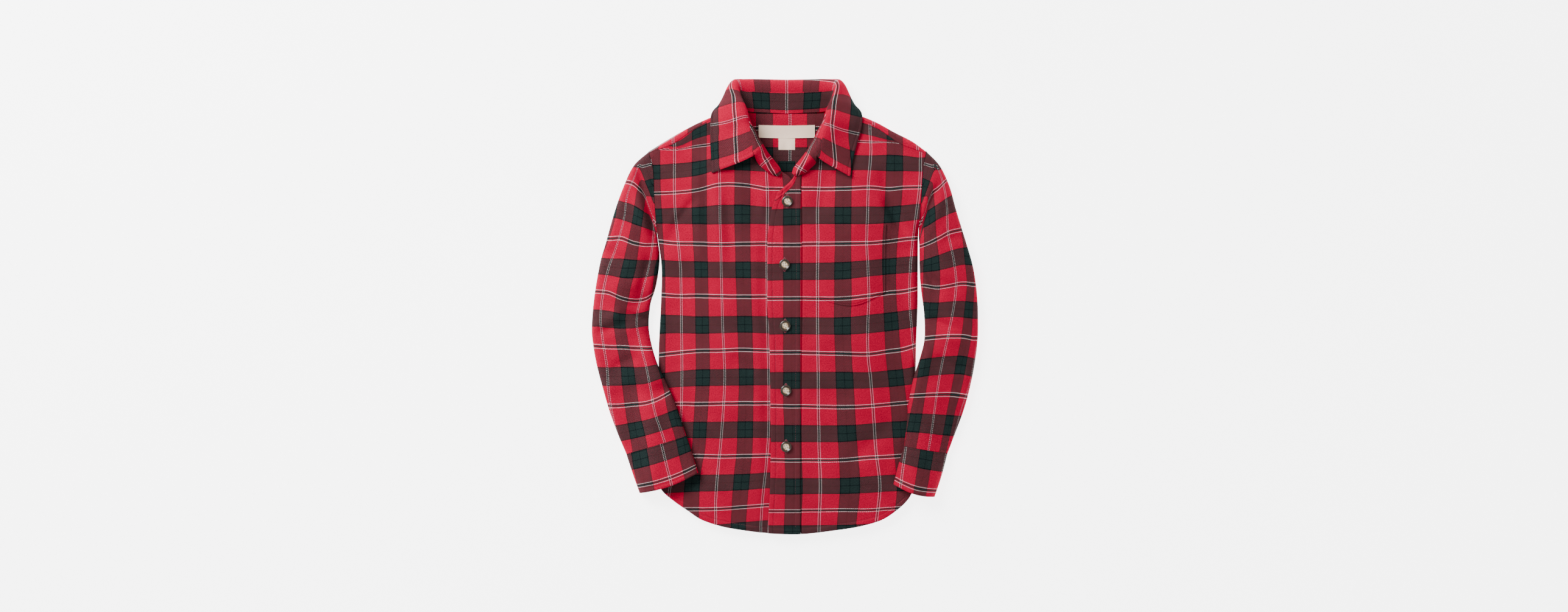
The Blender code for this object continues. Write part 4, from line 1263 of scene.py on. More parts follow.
def make_cuffs(look):
    for name, rows, side, stripes, bars in (
            ("cuff_right", CUFF_RIGHT, -1, CUFF_STRIPES_RIGHT, CUFF_BARS_RIGHT),
            ("cuff_left", CUFF_LEFT, 1, CUFF_STRIPES_LEFT, CUFF_BARS_LEFT)):
        def ring_at(t):
            down = t / CUFF_STATIONS * CUFF_DEPTH

            def place(x, y, share):
                return woven(line_number(stripes, t, x), (bars[0] - down) / (bars[1] - bars[0]))

            def relief(x, y):
                edges = stitched_edge(down, CUFF_TOP_STITCH, 0.3) \
                    + stitched_edge(CUFF_DEPTH - down, EDGE_STITCH, 0.3)
                return 0.4 * slack(x, y, 15.0) + edges

            return tube_weave(place, tube_ring(rows, t, relief, bow=CUFF_BOW * t / CUFF_STATIONS), side)

        stations = steps((0.0, 0.3, 12), (0.3, 1.7, 16), (1.7, 2.0, 12))
        cuff = make_tube(name, stations, ring_at, side, DOUBLE, look)


# --- collar ---------------------------------------------------------------------------------------

def clear_of_body(x, y, z, gap):
    """Lift or push a point so that it lies outside the shoulders and on the fronts."""
    off = abs(x - NECK_MID_X)
    from_shoulder = shoulder(x, y)
    radius = ROLL * read(BODY, "mid", y)
    inside_neck = off < NECK_HALF and y > read(NECKLINE, "y", off)
    if inside_neck or from_shoulder < -12:
        return x, y, z
    if from_shoulder >= radius:
        return x, y, max(z, collar_rest(x, y) + gap)
    mid = form(x, y)[3]
    across, up = radius - from_shoulder, (z - mid) * radius / mid
    reach = math.hypot(across, up)
    if reach < radius + COLLAR_CLEAR:
        push = (radius + COLLAR_CLEAR) / max(reach, 0.1)
        y += across * (push - 1)
        z = mid + up * push * mid / radius
    return x, y, z


def collar_section(t, side):
    """Points of the collar's cross-section, from its seam over the ridge to the free edge."""
    on_leaf = t >= LEAF_FRONT
    rows, shares = (COLLAR, LEAF_SHARES) if on_leaf else (COLLAR_END, STAND_SHARES)
    over = min(read(rows, "over", t), 1.0)
    points = []
    for letter in "nrmo":
        dx, dy, z = (read(rows, letter + axis, t) for axis in "xyz")
        if side > 0 and letter in shares:
            dx += shares[letter] * read(POINT_SHIFT, "dx", t)
            dy += shares[letter] * read(POINT_SHIFT, "dy", t)
        x = NECK_MID_X + side * dx
        if over > 0:
            z += over * collar_rest(x, dy)
        points.append(Vector((x, dy, z)))
    return points


def lengths_along(points):
    """Distance of each point from the first, along the line through them."""
    lengths = [0.0]
    for a, b in zip(points, points[1:]):
        lengths.append(lengths[-1] + (b - a).length)
    return lengths


def smooth_run(points):
    """Finely spaced points on a centripetal curve through a few points, with its lengths."""
    ends = [2 * points[0] - points[1]] + list(points) + [2 * points[-1] - points[-2]]
    fine = []
    for a, b, c, d in zip(ends, ends[1:], ends[2:], ends[3:]):
        k = [0.0]
        for p, q in ((a, b), (b, c), (c, d)):
            k.append(k[-1] + max((q - p).length, 0.01) ** 0.5)
        for i in range(CURVE_POINTS):
            u = k[1] + (k[2] - k[1]) * i / CURVE_POINTS
            ab = a.lerp(b, (u - k[0]) / (k[1] - k[0]))
            bc = b.lerp(c, (u - k[1]) / (k[2] - k[1]))
            cd = c.lerp(d, (u - k[2]) / (k[3] - k[2]))
            abc = ab.lerp(bc, (u - k[0]) / (k[2] - k[0]))
            bcd = bc.lerp(cd, (u - k[1]) / (k[3] - k[1]))
            fine.append(abc.lerp(bcd, (u - k[1]) / (k[2] - k[1])))
    fine.append(points[-1])
    return fine, lengths_along(fine)


def point_at(fine, lengths, distance):
    """Point at a distance along a fine curve."""
    distance = min(max(distance, 0.0), lengths[-1])
    i = min(bisect.bisect_right(lengths, distance) - 1, len(fine) - 2)
    return fine[i].lerp(fine[i + 1], (distance - lengths[i]) / max(lengths[i + 1] - lengths[i], 1e-6))


def relax(grid):
    """Evens out a grid of points, leaving its edges where they are."""
    for _ in range(RELAX_ROUNDS):
        before = [list(row) for row in grid]
        for i in range(1, len(grid) - 1):
            for j in range(1, len(grid[0]) - 1):
                mean = (before[i - 1][j] + before[i + 1][j] + before[i][j - 1] + before[i][j + 1]) / 4
                grid[i][j] = before[i][j].lerp(mean, RELAX)
    return grid


def collar_face(hidden, ts, relief, before=None, after=None):
    """Visible face: the section moved out by the wall, which is thinner at the stand's ends.
    before and after are the neighbouring piece's columns, where the two share a seam."""
    face = []
    for i, row in enumerate(hidden):
        face.append([])
        wall = COLLAR_WALL * (END_WALL + (1 - END_WALL) * ease((ts[i] - END_WALL_T) / END_WALL_RUN))
        for j, p in enumerate(row):
            along = hidden[min(i + 1, len(hidden) - 1)][j] - hidden[max(i - 1, 0)][j]
            low, high = row[max(j - 1, 0)], row[min(j + 1, len(row) - 1)]
            if j == 0 and before and before[i]:
                low = before[i][-2]
            if j == len(row) - 1 and after and after[i]:
                high = after[i][1]
            normal = along.cross(high - low).normalized()
            face[-1].append(p + (wall + relief(i, j)) * normal)
    return face


def kept_clear(columns, hem=0):
    """The collar's columns, kept off the body and evened out; hem is the number of points next
    to the free edge that are also evened along it."""
    grid = relax([[Vector(clear_of_body(*p, LAY)) for p in row] for row in columns])
    for j in range(len(grid[0]) - hem, len(grid[0])):
        for _ in range(EDGE_ROUNDS):
            before = [row[j] for row in grid]
            for i in range(1, len(grid) - 1):
                grid[i][j] = before[i].lerp((before[i - 1] + before[i + 1]) / 2, 0.5)
    return grid


def collar_stations():
    """(side, station) pairs from the wearer's right end round to the left end."""
    ts = [i / COLLAR_DENSITY for i in range(COLLAR_MIDDLE * COLLAR_DENSITY + 1)]
    return [(-1, t) for t in ts] + [(1, t) for t in reversed(ts[:-1])]


def collar_weave(face, lines, slides):
    """Place in the collar's cloth. lines gives each column's length from its seam to the white
    lines that run along the piece; places along it are measured there, from the middle, and
    slides moves the lines that cross the piece toward its ends."""
    reaches = [lengths_along(row) for row in face]
    runs = lengths_along([point_at(row, reach, min(line, 0.6 * reach[-1]))
                          for row, reach, line in zip(face, reaches, lines)])
    half_across, half_along = woven(1, 1)
    middle = runs[len(face) // 2] - half_across
    return [[(tuple(point), (run - slide - middle, here - line + half_along))
             for point, here in zip(row, reach)]
            for row, reach, run, line, slide in zip(face, reaches, runs, lines, slides)]


def make_collar(look):
    stations = collar_stations()
    ts = [t for _, t in stations]
    stand, leaf, heights = [], [], []
    for side, t in stations:
        fine, lengths = smooth_run(collar_section(t, side))
        seam = read(COLLAR_CUT, "seam", t)
        heights.append(min(seam, lengths[-1]))
        stand.append([point_at(fine, lengths, heights[-1] * s / STAND_ROWS)
                      for s in range(STAND_ROWS + 1)])
        if t >= LEAF_FRONT:
            hem = lengths[-1] - LEAF_EDGE
            row = [seam + (hem - seam) * s / LEAF_ROWS for s in range(LEAF_ROWS + 1)]
            row += [hem + LEAF_EDGE * s / LEAF_EDGE_ROWS for s in range(1, LEAF_EDGE_ROWS + 1)]
            leaf.append([point_at(fine, lengths, d) for d in row])
    stand, leaf = kept_clear(stand), kept_clear(leaf, LEAF_EDGE_ROWS + 1)
    first = LEAF_FRONT * COLLAR_DENSITY
    beyond = [None] * first + leaf + [None] * first

    def stand_relief(i, j):
        reach = heights[i] * j / STAND_ROWS
        seam = groove(heights[i] - reach, 0.9, 0.4) if beyond[i] else 0.0
        return seam + groove(reach - 2.0, 0.7, 0.25)

    def leaf_relief(i, j):
        here = leaf[i][j]
        front = min((here - leaf[0][j]).length, (here - leaf[-1][j]).length)
        edges = sum(stitched_edge(off, EDGE_STITCH, 0.35) for off in ((leaf[i][-1] - here).length, front))
        return edges + groove((here - leaf[i][0]).length, 0.9, 0.4)

    def cuts(rows, prefix, stations):
        """A table's values for the stations, from its column for either side."""
        return [read(rows, prefix + ("right" if side < 0 else "left"), t) for side, t in stations]

    face = collar_face(stand, ts, stand_relief, after=beyond)
    slides = [side * slide for (side, _), slide in zip(stations, cuts(STAND_SLIDE, "", stations))]
    cloth = collar_weave(face, cuts(COLLAR_CUT, "stand_", stations), slides)
    piece = cloth_piece("collar_stand", cloth, DOUBLE, look)

    face = collar_face(leaf, ts[first:-first], leaf_relief, before=stand[first:-first])
    cloth = collar_weave(face, cuts(COLLAR_CUT, "leaf_", stations[first:-first]), [0.0] * len(face))
    piece = cloth_piece("collar_leaf", cloth, DOUBLE, look)


# --- small pieces ---------------------------------------------------------------------------------

def make_labels(look):
    """Woven neck label and size tab, bare, lying on the inner face of the yoke."""
    for name, width, height, top, sag, raised, columns in zip(*LABELS.values()):
        cloth = []
        for i in range(columns + 1):
            across = i / columns
            x = NECK_MID_X + width * (across - 0.5)
            cloth.append([])
            for j in range(LABEL_ROWS + 1):
                down = 1 - j / LABEL_ROWS
                y = top - height * down - sag * (math.sin(math.pi * across) - 0.5)
                curl = 0.35 * math.sin(math.pi * across * 3 + 0.6) * ease(down)
                z = lower(x, y, YOKE_WALL)[2] + LABEL_LAY + 0.4 + curl + raised
                cloth[-1].append(((x, y, z), (width * across, height * (1 - down))))
        label = cloth_piece(name, cloth, LABEL_WALL, look)


def make_buttons(look, beige, red):
    """Four-hole buttons with a raised rim, sewn on through the placket with beige thread, and
    their buttonholes in red thread."""
    settings = bpy.context.scene.shirt_button
    radius, thick = settings.diameter / 2, settings.thickness
    profile = list(zip(*BUTTON_PROFILE.values()))
    for number, y in enumerate(reversed(BUTTONS["y"]), 1):
        name = "button_%d" % number
        x, turn = read(BUTTONS, "x", y), math.radians(read(BUTTONS, "turn", y))
        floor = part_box(name)[0][2]
        select()
        bpy.ops.mesh.primitive_circle_add(vertices=64, radius=radius * profile[0][0], fill_type="NGON",
                                          location=(0, 0, floor))
        button = bpy.context.object
        button.name = button.data.name = name
        bpy.ops.object.transform_apply(location=True, rotation=False, scale=False)
        bpy.ops.object.mode_set(mode="EDIT")
        bpy.ops.mesh.select_all(action="SELECT")
        bpy.ops.mesh.flip_normals()
        for (r0, z0), (r1, z1) in zip(profile, profile[1:]):
            bpy.ops.mesh.extrude_region_move(TRANSFORM_OT_translate={"value": (0, 0, (z1 - z0) * thick)})
            bpy.ops.transform.resize(value=(r1 / r0, r1 / r0, 1))
        bpy.ops.mesh.select_all(action="SELECT")
        bpy.ops.mesh.normals_make_consistent(inside=False)
        bpy.ops.object.mode_set(mode="OBJECT")
        drills = []
        for corner in range(4):
            angle = turn + math.radians(45 + 90 * corner)
            bpy.ops.mesh.primitive_cylinder_add(
                vertices=24, radius=settings.hole / 2, depth=thick * 4,
                location=(settings.pitch * math.cos(angle), settings.pitch * math.sin(angle), floor))
            drills.append(bpy.context.object)
        for drill in drills:
            cut = button.modifiers.new("hole", "BOOLEAN")
            cut.operation = "DIFFERENCE"
            cut.object = drill
        apply_modifiers(button)
        for drill in drills:
            bpy.data.objects.remove(drill)
        disc = button.data.uv_layers.new(name="disc")
        for loop in button.data.loops:
            disc.data[loop.index].uv = button.data.vertices[loop.vertex_index].co.xy / radius
        for vertex in button.data.vertices:
            vertex.co.x += x * MM
            vertex.co.y += y * MM
        shade_by_angle(button, 35)
        dress(button, look, [name])
        make_button_thread(number, x, y, turn, floor + BUTTON_FLOOR * thick, beige)
        make_buttonhole(number, x, y, red)


def make_button_thread(number, x, y, turn, height, look):
    """Two bars of thread between the holes, of two strands each."""
    settings = bpy.context.scene.shirt_button
    half = settings.pitch / math.sqrt(2)
    bars = []
    for side in (-1, 1):
        for strand in (-STRAND_GAP / 2, STRAND_GAP / 2):
            select()
            bpy.ops.mesh.primitive_uv_sphere_add(segments=10, ring_count=8, radius=1.0)
            bars.append(bpy.context.object)
            for vertex in bars[-1].data.vertices:
                along, across, up = vertex.co
                px = along * (half + settings.hole * 0.35)
                py = side * half + (across * 0.2 + strand) * MM
                pz = height + (0.22 * up - 0.1 + 0.25 * (1 - along * along)) * MM
                vertex.co = (x * MM + px * math.cos(turn) - py * math.sin(turn),
                             y * MM + px * math.sin(turn) + py * math.cos(turn), pz)
    thread = join(bars, "button_thread_%d" % number)
    thread.data.shade_smooth()
    dress(thread, look, [])


def make_buttonhole(number, x, y, look):
    """Upright buttonhole: a dense band of satin stitch round a slit, half under the button."""
    select()
    bpy.ops.mesh.primitive_torus_add(
        major_segments=120, minor_segments=10, major_radius=1.0, minor_radius=0.55)
    hole = bpy.context.object
    for vertex in hole.data.vertices:
        vx, vy, vz = vertex.co
        angle, ring = math.atan2(vy, vx), math.hypot(vx, vy)
        ridge = 0.05 * math.sin(angle * 54)
        upright = math.copysign(abs(math.sin(angle)) ** 0.6, math.sin(angle))
        px = x + math.cos(angle) * BUTTONHOLE_WIDTH / 2 * (ring + 0.25) * 0.9
        py = y + upright * (BUTTONHOLE_LENGTH / 2 - 0.6 + (ring - 1) * 1.4)
        pz = placket_band(px, py)[2] + vz * (0.9 + ridge) + STITCH_PROUD
        vertex.co = (px * MM, py * MM, pz * MM)
    hole.data.shade_smooth()
    hole.name = hole.data.name = "buttonhole_%d" % number
    dress(hole, look, [])


def stitch_run(runs, look, name):
    """Topstitching: one modelled stitch, copied at an even pitch along runs of surface points."""
    select()
    bpy.ops.mesh.primitive_uv_sphere_add(segments=6, ring_count=5, radius=1.0)
    stitch = bpy.context.object
    halves = (STITCH_LENGTH / 2, STITCH_WIDTH / 2, STITCH_HEIGHT / 2)
    copies = []
    for run in runs:
        travelled = STITCH_PITCH
        for a, b in zip(run, run[1:]):
            step = (b - a).length
            travelled += step
            if travelled < STITCH_PITCH or step < 1e-6:
                continue
            travelled -= STITCH_PITCH
            along = (b - a).normalized()
            across = along.cross(Vector((0, 0, 1))).normalized()
            axes = (along, across, across.cross(along))
            columns = [axis * half * MM for axis, half in zip(axes, halves)]
            copy = stitch.copy()
            copy.matrix_world = Matrix(
                [[*(column[k] for column in columns), b[k] * MM] for k in range(3)] + [[0, 0, 0, 1]])
            bpy.context.collection.objects.link(copy)
            copies.append(copy)
    bpy.data.objects.remove(stitch)
    copies[0].data = copies[0].data.copy()
    piece = join(copies, name)
    bpy.ops.object.transform_apply(location=True, rotation=True, scale=True)
    piece.data.shade_smooth()
    dress(piece, look, [])


def make_topstitching(look):
    """Visible lines of stitching on the hem and the placket."""
    def spaced(start, end):
        count = int((end - start) / STITCH_STEP)
        return [start + (end - start) * i / count for i in range(count + 1)]

    def hem_line(ends, layer):
        line = []
        for x in spaced(*ends):
            y = hem_y(x) + HEM_STITCH
            line.append(Vector(layer(x, y)) + Vector((0, 0, hem_relief(x, y) + STITCH_PROUD)))
        return line

    def placket_line(ends, edge, inwards):
        return [Vector(placket_band(edge(y) + inwards, y, STITCH_PROUD - GROOVE_DEPTH))
                for y in spaced(*ends)]

    hem = [hem_line(HEM_RIGHT_ENDS, right_front), hem_line(HEM_LEFT_ENDS, upper)]
    stitch_run(hem, look, "hem_stitching")
    placket = [placket_line(PLACKET_LEFT_ENDS, placket_left, PLACKET_STITCH),
               placket_line(PLACKET_RIGHT_ENDS, placket_right, -PLACKET_STITCH)]
    stitch_run(placket, look, "placket_stitching")


# --- materials ------------------------------------------------------------------------------------

def srgb(code):
    """Linear colour of an sRGB hex value."""
    parts = [int(code[i:i + 2], 16) / 255 for i in (1, 3, 5)]
    return [p / 12.92 if p <= 0.04045 else ((p + 0.055) / 1.055) ** 2.4 for p in parts]


def add_node(tree, kind, inputs=None, **settings):
    """Adds a shader node. inputs maps a socket's name or number to a value, to another node's
    output, or to a node, whose first output is then used."""
    node = tree.nodes.new("ShaderNode" + kind)
    for name, value in settings.items():
        setattr(node, name, value)
    for socket, value in (inputs or {}).items():
        if isinstance(value, bpy.types.Node):
            value = value.outputs[0]
        if isinstance(value, bpy.types.NodeSocket):
            tree.links.new(value, node.inputs[socket])
        else:
            node.inputs[socket].default_value = value
    return node


def new_material(name):
    """An empty material, and the function that adds a node to it."""
    look = bpy.data.materials.new(name)
    look.use_nodes = True
    look.node_tree.nodes.clear()
    return look, functools.partial(add_node, look.node_tree)


def fill_ramp(node, stops, interpolation="LINEAR"):
    """Sets a colour ramp's stops, as (place, linear colour) or (place, linear colour, alpha)."""
    ramp = node.color_ramp
    ramp.interpolation = interpolation
    while len(ramp.elements) > 1:
        ramp.elements.remove(ramp.elements[-1])
    for i, (place, colour, *alpha) in enumerate(stops):
        element = ramp.elements[0] if i == 0 else ramp.elements.new(place)
        element.position = place
        element.color = (*colour, *(alpha or [1.0]))
    return node


def flannel_material(name):
    """Brushed cotton flannel, yarn-dyed and woven in a 2/2 twill: where dark yarn crosses red it
    shows as fine diagonals, a single white yarn shows as dots, and the nap softens all of it."""
    cloth = bpy.context.scene.shirt_cloth
    look, add = new_material(name)
    place = add("UVMap", uv_map="cloth")
    # yarns wander a little, so the bands' edges aren't ruled
    wander = add("TexNoise", {"Vector": place, "Scale": 60.0, "Detail": 2.0})
    shift = add("VectorMath", {0: wander.outputs["Color"], 1: (0.5, 0.5, 0.5)}, operation="SUBTRACT")
    shift = add("VectorMath", {0: shift, "Scale": WANDER}, operation="SCALE")
    moved = add("VectorMath", {0: place, 1: shift}, operation="ADD")
    axes = add("SeparateXYZ", {0: moved})

    green, black, red, white = ([c ** (1 / BLEND) for c in colour]
                                for colour in (cloth.green, cloth.black, cloth.red, cloth.white))
    yarns = []
    for axis, sett, gap, core in (("X", cloth.sett_across, cloth.gap_across, WARP_CORE),
                                  ("Y", cloth.sett_along, cloth.gap_along, WEFT_CORE)):
        half, band, line = sett / 2, cloth.band_width / 2, (sett - gap) / 2
        folded = add("Math", {0: axes.outputs[axis], 1: half}, operation="PINGPONG")
        share = add("Math", {0: folded, 1: half}, operation="DIVIDE")
        yarns.append(fill_ramp(add("ValToRGB", {0: share}), (
            (0.0, black, 1),
            (CENTRE_YARN / 2 / half, green, 1),
            ((band - EDGE_YARN) / half, black, 1),
            (band / half, red, 0),
            ((line - WHITE_YARN / 2) / half, white, 0.5),
            ((line + WHITE_YARN / 2) / half, red, 0),
            ((half - core) / half, green, 1)), "CONSTANT"))
    warp, weft = yarns

    diagonal = add("Math", {0: axes.outputs["X"], 1: axes.outputs["Y"]}, operation="SUBTRACT")
    turns = add("Math", {0: diagonal, 1: cloth.wale}, operation="DIVIDE")
    part = add("Math", {0: turns}, operation="FRACT")
    wave = add("Math", {0: part, 1: 0.5}, operation="PINGPONG")
    warp_up = add("MapRange", {"Value": wave, "From Min": 0.24, "From Max": 0.34,
                               "To Min": 0.1, "To Max": 0.8})
    woven_colour = add("Mix", {"Factor": warp_up, "A": weft, "B": warp}, data_type="RGBA")

    # the colours are blended as roots, because dark nap hides red better than red nap hides dark
    shade = add("Gamma", {"Color": woven_colour.outputs["Result"], "Gamma": BLEND}).outputs["Color"]
    # where dark yarn crosses red, the short floats shade each other and their naps mix to brown
    unlike = add("Math", {0: warp.outputs["Alpha"], 1: weft.outputs["Alpha"]}, operation="SUBTRACT")
    unlike = add("Math", {0: unlike}, operation="ABSOLUTE")
    unlike = add("MapRange", {"Value": unlike, "From Min": 0.5})
    for kind, colour in (("MULTIPLY", (0.46, 0.56, 0.5, 1.0)), ("ADD", (0.009, 0.013, 0.011, 1.0))):
        shade = add("Mix", {"Factor": unlike, "A": shade, "B": colour},
                    data_type="RGBA", blend_type=kind).outputs["Result"]

    # nap: fine mottling about a millimetre across, over broader unevenness
    fine = add("TexNoise", {"Vector": place, "Scale": 750.0, "Detail": 3.0, "Roughness": 0.7})
    broad = add("TexNoise", {"Vector": place, "Scale": 45.0, "Detail": 2.0})
    fuzz, tone = (add("MapRange", {"Value": mottle, "From Min": 0.3, "From Max": 0.7,
                                   "To Min": low, "To Max": high})
                  for mottle, low, high in ((fine, 0.66, 1.36), (broad, 0.93, 1.07)))
    both = add("Math", {0: fuzz, 1: tone}, operation="MULTIPLY")
    napped = add("VectorMath", {0: shade, "Scale": both}, operation="SCALE")

    height = add("Math", {0: wave, 1: fine}, operation="ADD")
    bump = add("Bump", {"Strength": 0.8, "Distance": 0.0003, "Height": height})
    shader = add("BsdfPrincipled", {"Base Color": napped, "Normal": bump, "Roughness": 0.92,
                                    "Specular IOR Level": 0.03})
    add("OutputMaterial", {"Surface": shader})
    return look


def horn_material(name):
    """Cast polyester made to look like horn: cloudy smoke brown over beige, polished."""
    button = bpy.context.scene.shirt_button
    look, add = new_material(name)
    place = add("TexCoord")
    clouds = add("TexNoise", {"Vector": place.outputs["Object"], "Scale": 260.0, "Detail": 3.0,
                              "Distortion": 1.2})
    disc = add("UVMap", uv_map="disc")
    reach = add("VectorMath", {0: disc}, operation="LENGTH")
    inner = add("Math", {0: reach.outputs["Value"], 1: 0.8}, operation="MULTIPLY")
    stray = add("Math", {0: clouds, 1: 0.3, 2: inner}, operation="MULTIPLY_ADD")
    # from the middle out: pale eye, smoky ring, then a thin rim, darkest just inside and lighter
    # grey-brown at its very edge, that lighter edge a painted highlight
    ramp = fill_ramp(add("ValToRGB", {0: stray}), (
        (0.4, button.light), (0.56, srgb("#9A8464")), (0.64, srgb("#4C3C2C")),
        (0.78, button.dark), (0.88, srgb("#2A221A")), (0.96, srgb("#54493C"))))
    shader = add("BsdfPrincipled", {"Base Color": ramp, "Roughness": 0.18, "IOR": 1.56,
                                    "Coat Weight": 0.4, "Coat Roughness": 0.08})
    add("OutputMaterial", {"Surface": shader})
    return look


def thread_material(name, dark, light):
    """Spun polyester sewing thread: fine strands, dull."""
    look, add = new_material(name)
    place = add("TexCoord")
    strands = add("TexNoise", {"Vector": place.outputs["Object"], "Scale": 2500.0})
    ramp = fill_ramp(add("ValToRGB", {0: strands}), ((0.3, srgb(dark)), (0.7, srgb(light))))
    shader = add("BsdfPrincipled", {"Base Color": ramp, "Roughness": 0.7, "Sheen Weight": 0.2})
    add("OutputMaterial", {"Surface": shader})
    return look


def label_material(name):
    """Woven satin label tape: fine floats across it, off-white, slightly lustrous."""
    look, add = new_material(name)
    place = add("UVMap", uv_map="cloth")
    axes = add("SeparateXYZ", {0: place})
    # floats 0.5 mm apart, coarser than the real 0.15 mm so that they show
    rows = add("Math", {0: axes.outputs["Y"], 1: 0.00025}, operation="PINGPONG")
    row = add("Math", {0: rows, 1: 4000.0}, operation="MULTIPLY")
    fibre = add("TexNoise", {"Vector": place, "Scale": 1200.0})
    ramp = fill_ramp(add("ValToRGB", {0: fibre}), ((0.3, srgb("#F0CDB2")), (0.7, srgb("#FBE4CE"))))
    bump = add("Bump", {"Strength": 0.4, "Distance": 0.0001, "Height": row})
    shader = add("BsdfPrincipled", {"Base Color": ramp, "Normal": bump, "Roughness": 0.6,
                                    "Sheen Weight": 0.15})
    add("OutputMaterial", {"Surface": shader})
    return look


def paper_material(name, glow):
    """Matt white paper on a lit table, which glows evenly."""
    look, add = new_material(name)
    shader = add("BsdfPrincipled", {"Base Color": (*srgb("#FBFBFB"), 1.0), "Roughness": 0.9,
                                    "Emission Color": (1, 1, 1, 1), "Emission Strength": glow})
    add("OutputMaterial", {"Surface": shader})
    return look


def material_named(name, make, *colours):
    """The material of this name, made when it is first asked for."""
    return bpy.data.materials.get(name) or make(name, *colours)


def flannel():
    return material_named("brushed cotton flannel", flannel_material)


def horn():
    return material_named("polished horn-effect polyester", horn_material)


def label_tape():
    return material_named("woven satin label tape", label_material)


def red_thread():
    """Thread dyed to the cloth's dark red."""
    return material_named("spun sewing thread, dark red", thread_material, "#4A0A1A", "#7A1830")


def beige_thread():
    """Thread that holds the buttons and closes their eyes."""
    return material_named("spun sewing thread, beige", thread_material, "#B8A282", "#E6D8BE")


# --- settings -------------------------------------------------------------------------------------

def length(name, description, default):
    return bpy.props.FloatProperty(
        name=name, description=description, default=default, unit="LENGTH", subtype="DISTANCE")


def colour(name, description, code):
    return bpy.props.FloatVectorProperty(
        name=name, description=description, default=srgb(code), size=3, subtype="COLOR")


class ShirtClothSettings(bpy.types.PropertyGroup):
    sett_across: length("Check across", "Repeat of the check across the cloth", 0.0586)
    sett_along: length("Check along", "Repeat of the check along the cloth", 0.0626)
    band_width: length("Band width", "Width of the dark bands", 0.0196)
    gap_across: length("White gap across", "Distance between the two white lines of the warp", 0.0026)
    gap_along: length("White gap along", "Distance between the two white lines of the weft", 0.0043)
    wale: length("Twill repeat", "Repeat of the twill along either yarn", 0.0019)
    red: colour("Red", "Ground colour", "#A0022C")
    green: colour("Green", "Colour of the bands", "#1A2625")
    black: colour("Black", "Edge and centre yarns of the bands", "#02070A")
    white: colour("White", "Fine lines", "#E0C8C6")


class ShirtButtonSettings(bpy.types.PropertyGroup):
    diameter: length("Diameter", "Outside diameter", 0.0126)
    thickness: length("Thickness", "Thickness at the rim", 0.0026)
    hole: length("Hole", "Diameter of each hole", 0.0017)
    pitch: length("Hole pitch", "Hole centre to button centre", 0.0016)
    dark: colour("Dark", "Colour of the smoky ring", "#241A12")
    light: colour("Light", "Colour of the eye", "#ECDCBE")


class ShirtStageSettings(bpy.types.PropertyGroup):
    camera_height: length("Camera height", "Camera above the floor", 3.0)
    frame_width: length("Frame width", "Width that the camera sees at the cloth", 1.8032)
    key_power: bpy.props.FloatProperty(
        name="Key power", description="Power of the large soft light", default=122.0, unit="POWER")
    sky: bpy.props.FloatProperty(
        name="Surround", description="Brightness of the white surround", default=0.35)
    floor_glow: bpy.props.FloatProperty(
        name="Floor glow", description="Light that the lit table gives", default=4.6)


# --- operators ------------------------------------------------------------------------------------

class SHIRT_OT_back(bpy.types.Operator):
    """Makes the back panel."""
    bl_idname = "shirt.back"
    bl_label = "Back"

    def execute(self, context):
        make_back(flannel())
        return {"FINISHED"}


class SHIRT_OT_yoke(bpy.types.Operator):
    """Makes the yoke with its two forward flaps."""
    bl_idname = "shirt.yoke"
    bl_label = "Yoke"

    def execute(self, context):
        make_yoke(flannel())
        return {"FINISHED"}


class SHIRT_OT_fronts(bpy.types.Operator):
    """Makes the right and left fronts."""
    bl_idname = "shirt.fronts"
    bl_label = "Fronts"

    def execute(self, context):
        make_fronts(flannel())
        return {"FINISHED"}


class SHIRT_OT_placket(bpy.types.Operator):
    """Makes the placket."""
    bl_idname = "shirt.placket"
    bl_label = "Placket"

    def execute(self, context):
        make_placket(flannel())
        return {"FINISHED"}


class SHIRT_OT_pocket(bpy.types.Operator):
    """Makes the chest pocket."""
    bl_idname = "shirt.pocket"
    bl_label = "Pocket"

    def execute(self, context):
        make_pocket(flannel())
        return {"FINISHED"}


class SHIRT_OT_sleeves(bpy.types.Operator):
    """Makes both sleeves."""
    bl_idname = "shirt.sleeves"
    bl_label = "Sleeves"

    def execute(self, context):
        make_sleeves(flannel())
        return {"FINISHED"}


class SHIRT_OT_cuffs(bpy.types.Operator):
    """Makes both cuffs."""
    bl_idname = "shirt.cuffs"
    bl_label = "Cuffs"

    def execute(self, context):
        make_cuffs(flannel())
        return {"FINISHED"}


class SHIRT_OT_collar(bpy.types.Operator):
    """Makes the collar stand and leaf."""
    bl_idname = "shirt.collar"
    bl_label = "Collar"

    def execute(self, context):
        make_collar(flannel())
        return {"FINISHED"}


class SHIRT_OT_labels(bpy.types.Operator):
    """Makes the neck label and the size tab."""
    bl_idname = "shirt.labels"
    bl_label = "Labels"

    def execute(self, context):
        make_labels(label_tape())
        return {"FINISHED"}


class SHIRT_OT_buttons(bpy.types.Operator):
    """Makes the buttons, their thread and the buttonholes."""
    bl_idname = "shirt.buttons"
    bl_label = "Buttons"

    def execute(self, context):
        make_buttons(horn(), beige_thread(), red_thread())
        return {"FINISHED"}


class SHIRT_OT_topstitching(bpy.types.Operator):
    """Makes the visible stitching."""
    bl_idname = "shirt.topstitching"
    bl_label = "Topstitching"

    def execute(self, context):
        make_topstitching(red_thread())
        return {"FINISHED"}


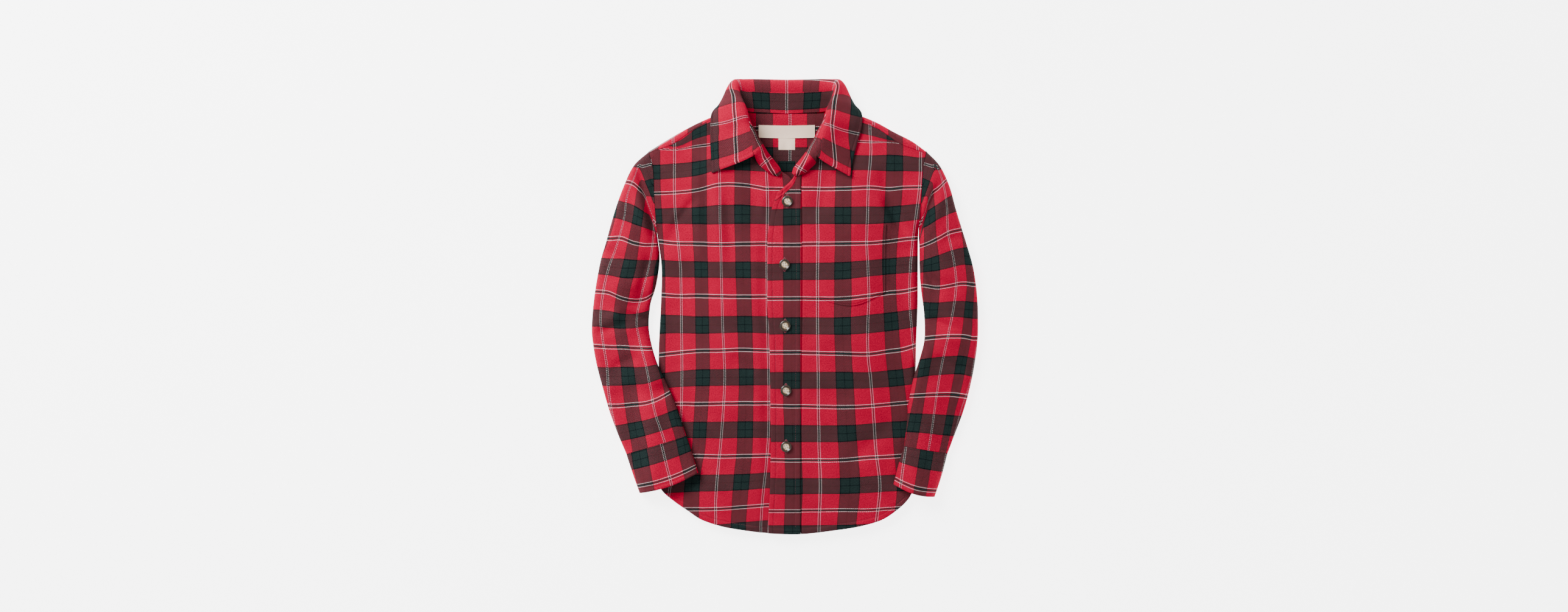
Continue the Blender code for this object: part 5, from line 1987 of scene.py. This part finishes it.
class SHIRT_OT_stage(bpy.types.Operator):
    """Makes the floor, the lights and the camera."""
    bl_idname = "shirt.stage"
    bl_label = "Stage"

    def execute(self, context):
        settings = context.scene.shirt_stage
        select()
        bpy.ops.mesh.primitive_plane_add(size=FLOOR_SIZE, location=(0, 0, FLOOR_Z))
        floor = context.object
        floor.name = floor.data.name = "floor"
        floor.data.materials.append(paper_material("white paper", settings.floor_glow))

        surround = bpy.data.worlds.new("white surround")
        surround.use_nodes = True
        background = surround.node_tree.nodes["Background"]
        background.inputs["Color"].default_value = (1, 1, 1, 1)
        background.inputs["Strength"].default_value = settings.sky
        context.scene.world = surround

        for name, size, share, place in LIGHTS:
            bpy.ops.object.light_add(type="AREA", location=place)
            light = context.object
            light.name = name
            light.data.shape = "DISK"
            light.data.size = size
            light.data.energy = settings.key_power * share
            light.rotation_euler = (-Vector(place)).to_track_quat("-Z", "Y").to_euler()

        bpy.ops.object.camera_add(location=(*CAMERA_PLACE, settings.camera_height), rotation=(0, 0, 0))
        camera = context.object
        camera.name = "camera"
        camera.data.sensor_width = SENSOR_WIDTH
        camera.data.lens = SENSOR_WIDTH * (settings.camera_height - CLOTH_HEIGHT) / settings.frame_width
        context.scene.camera = camera
        return {"FINISHED"}


class SHIRT_PT_panel(bpy.types.Panel):
    """Lists the shirt's pieces and settings."""
    bl_idname = "SHIRT_PT_panel"
    bl_label = "Flannel Shirt"
    bl_space_type = "VIEW_3D"
    bl_region_type = "UI"
    bl_category = "Shirt"

    def draw(self, context):
        layout = self.layout
        scene = context.scene
        for settings in (scene.shirt_cloth, scene.shirt_button, scene.shirt_stage):
            for name in settings.__annotations__:
                layout.prop(settings, name)
        for operator in OPERATORS:
            layout.operator(operator.bl_idname)


SETTINGS = (ShirtClothSettings, ShirtButtonSettings, ShirtStageSettings)
OPERATORS = (SHIRT_OT_stage, SHIRT_OT_back, SHIRT_OT_yoke, SHIRT_OT_fronts, SHIRT_OT_placket,
             SHIRT_OT_pocket, SHIRT_OT_sleeves, SHIRT_OT_cuffs, SHIRT_OT_collar, SHIRT_OT_labels,
             SHIRT_OT_buttons, SHIRT_OT_topstitching)


def register():
    for cls in SETTINGS + OPERATORS + (SHIRT_PT_panel,):
        bpy.utils.register_class(cls)
    bpy.types.Scene.shirt_cloth = bpy.props.PointerProperty(type=ShirtClothSettings)
    bpy.types.Scene.shirt_button = bpy.props.PointerProperty(type=ShirtButtonSettings)
    bpy.types.Scene.shirt_stage = bpy.props.PointerProperty(type=ShirtStageSettings)


def unregister():
    del bpy.types.Scene.shirt_stage, bpy.types.Scene.shirt_button, bpy.types.Scene.shirt_cloth
    for cls in reversed(SETTINGS + OPERATORS + (SHIRT_PT_panel,)):
        bpy.utils.unregister_class(cls)


def main():
    register()
    for operator in OPERATORS:
        group, name = operator.bl_idname.split(".")
        getattr(getattr(bpy.ops, group), name)()


if __name__ == "__main__":
    main()
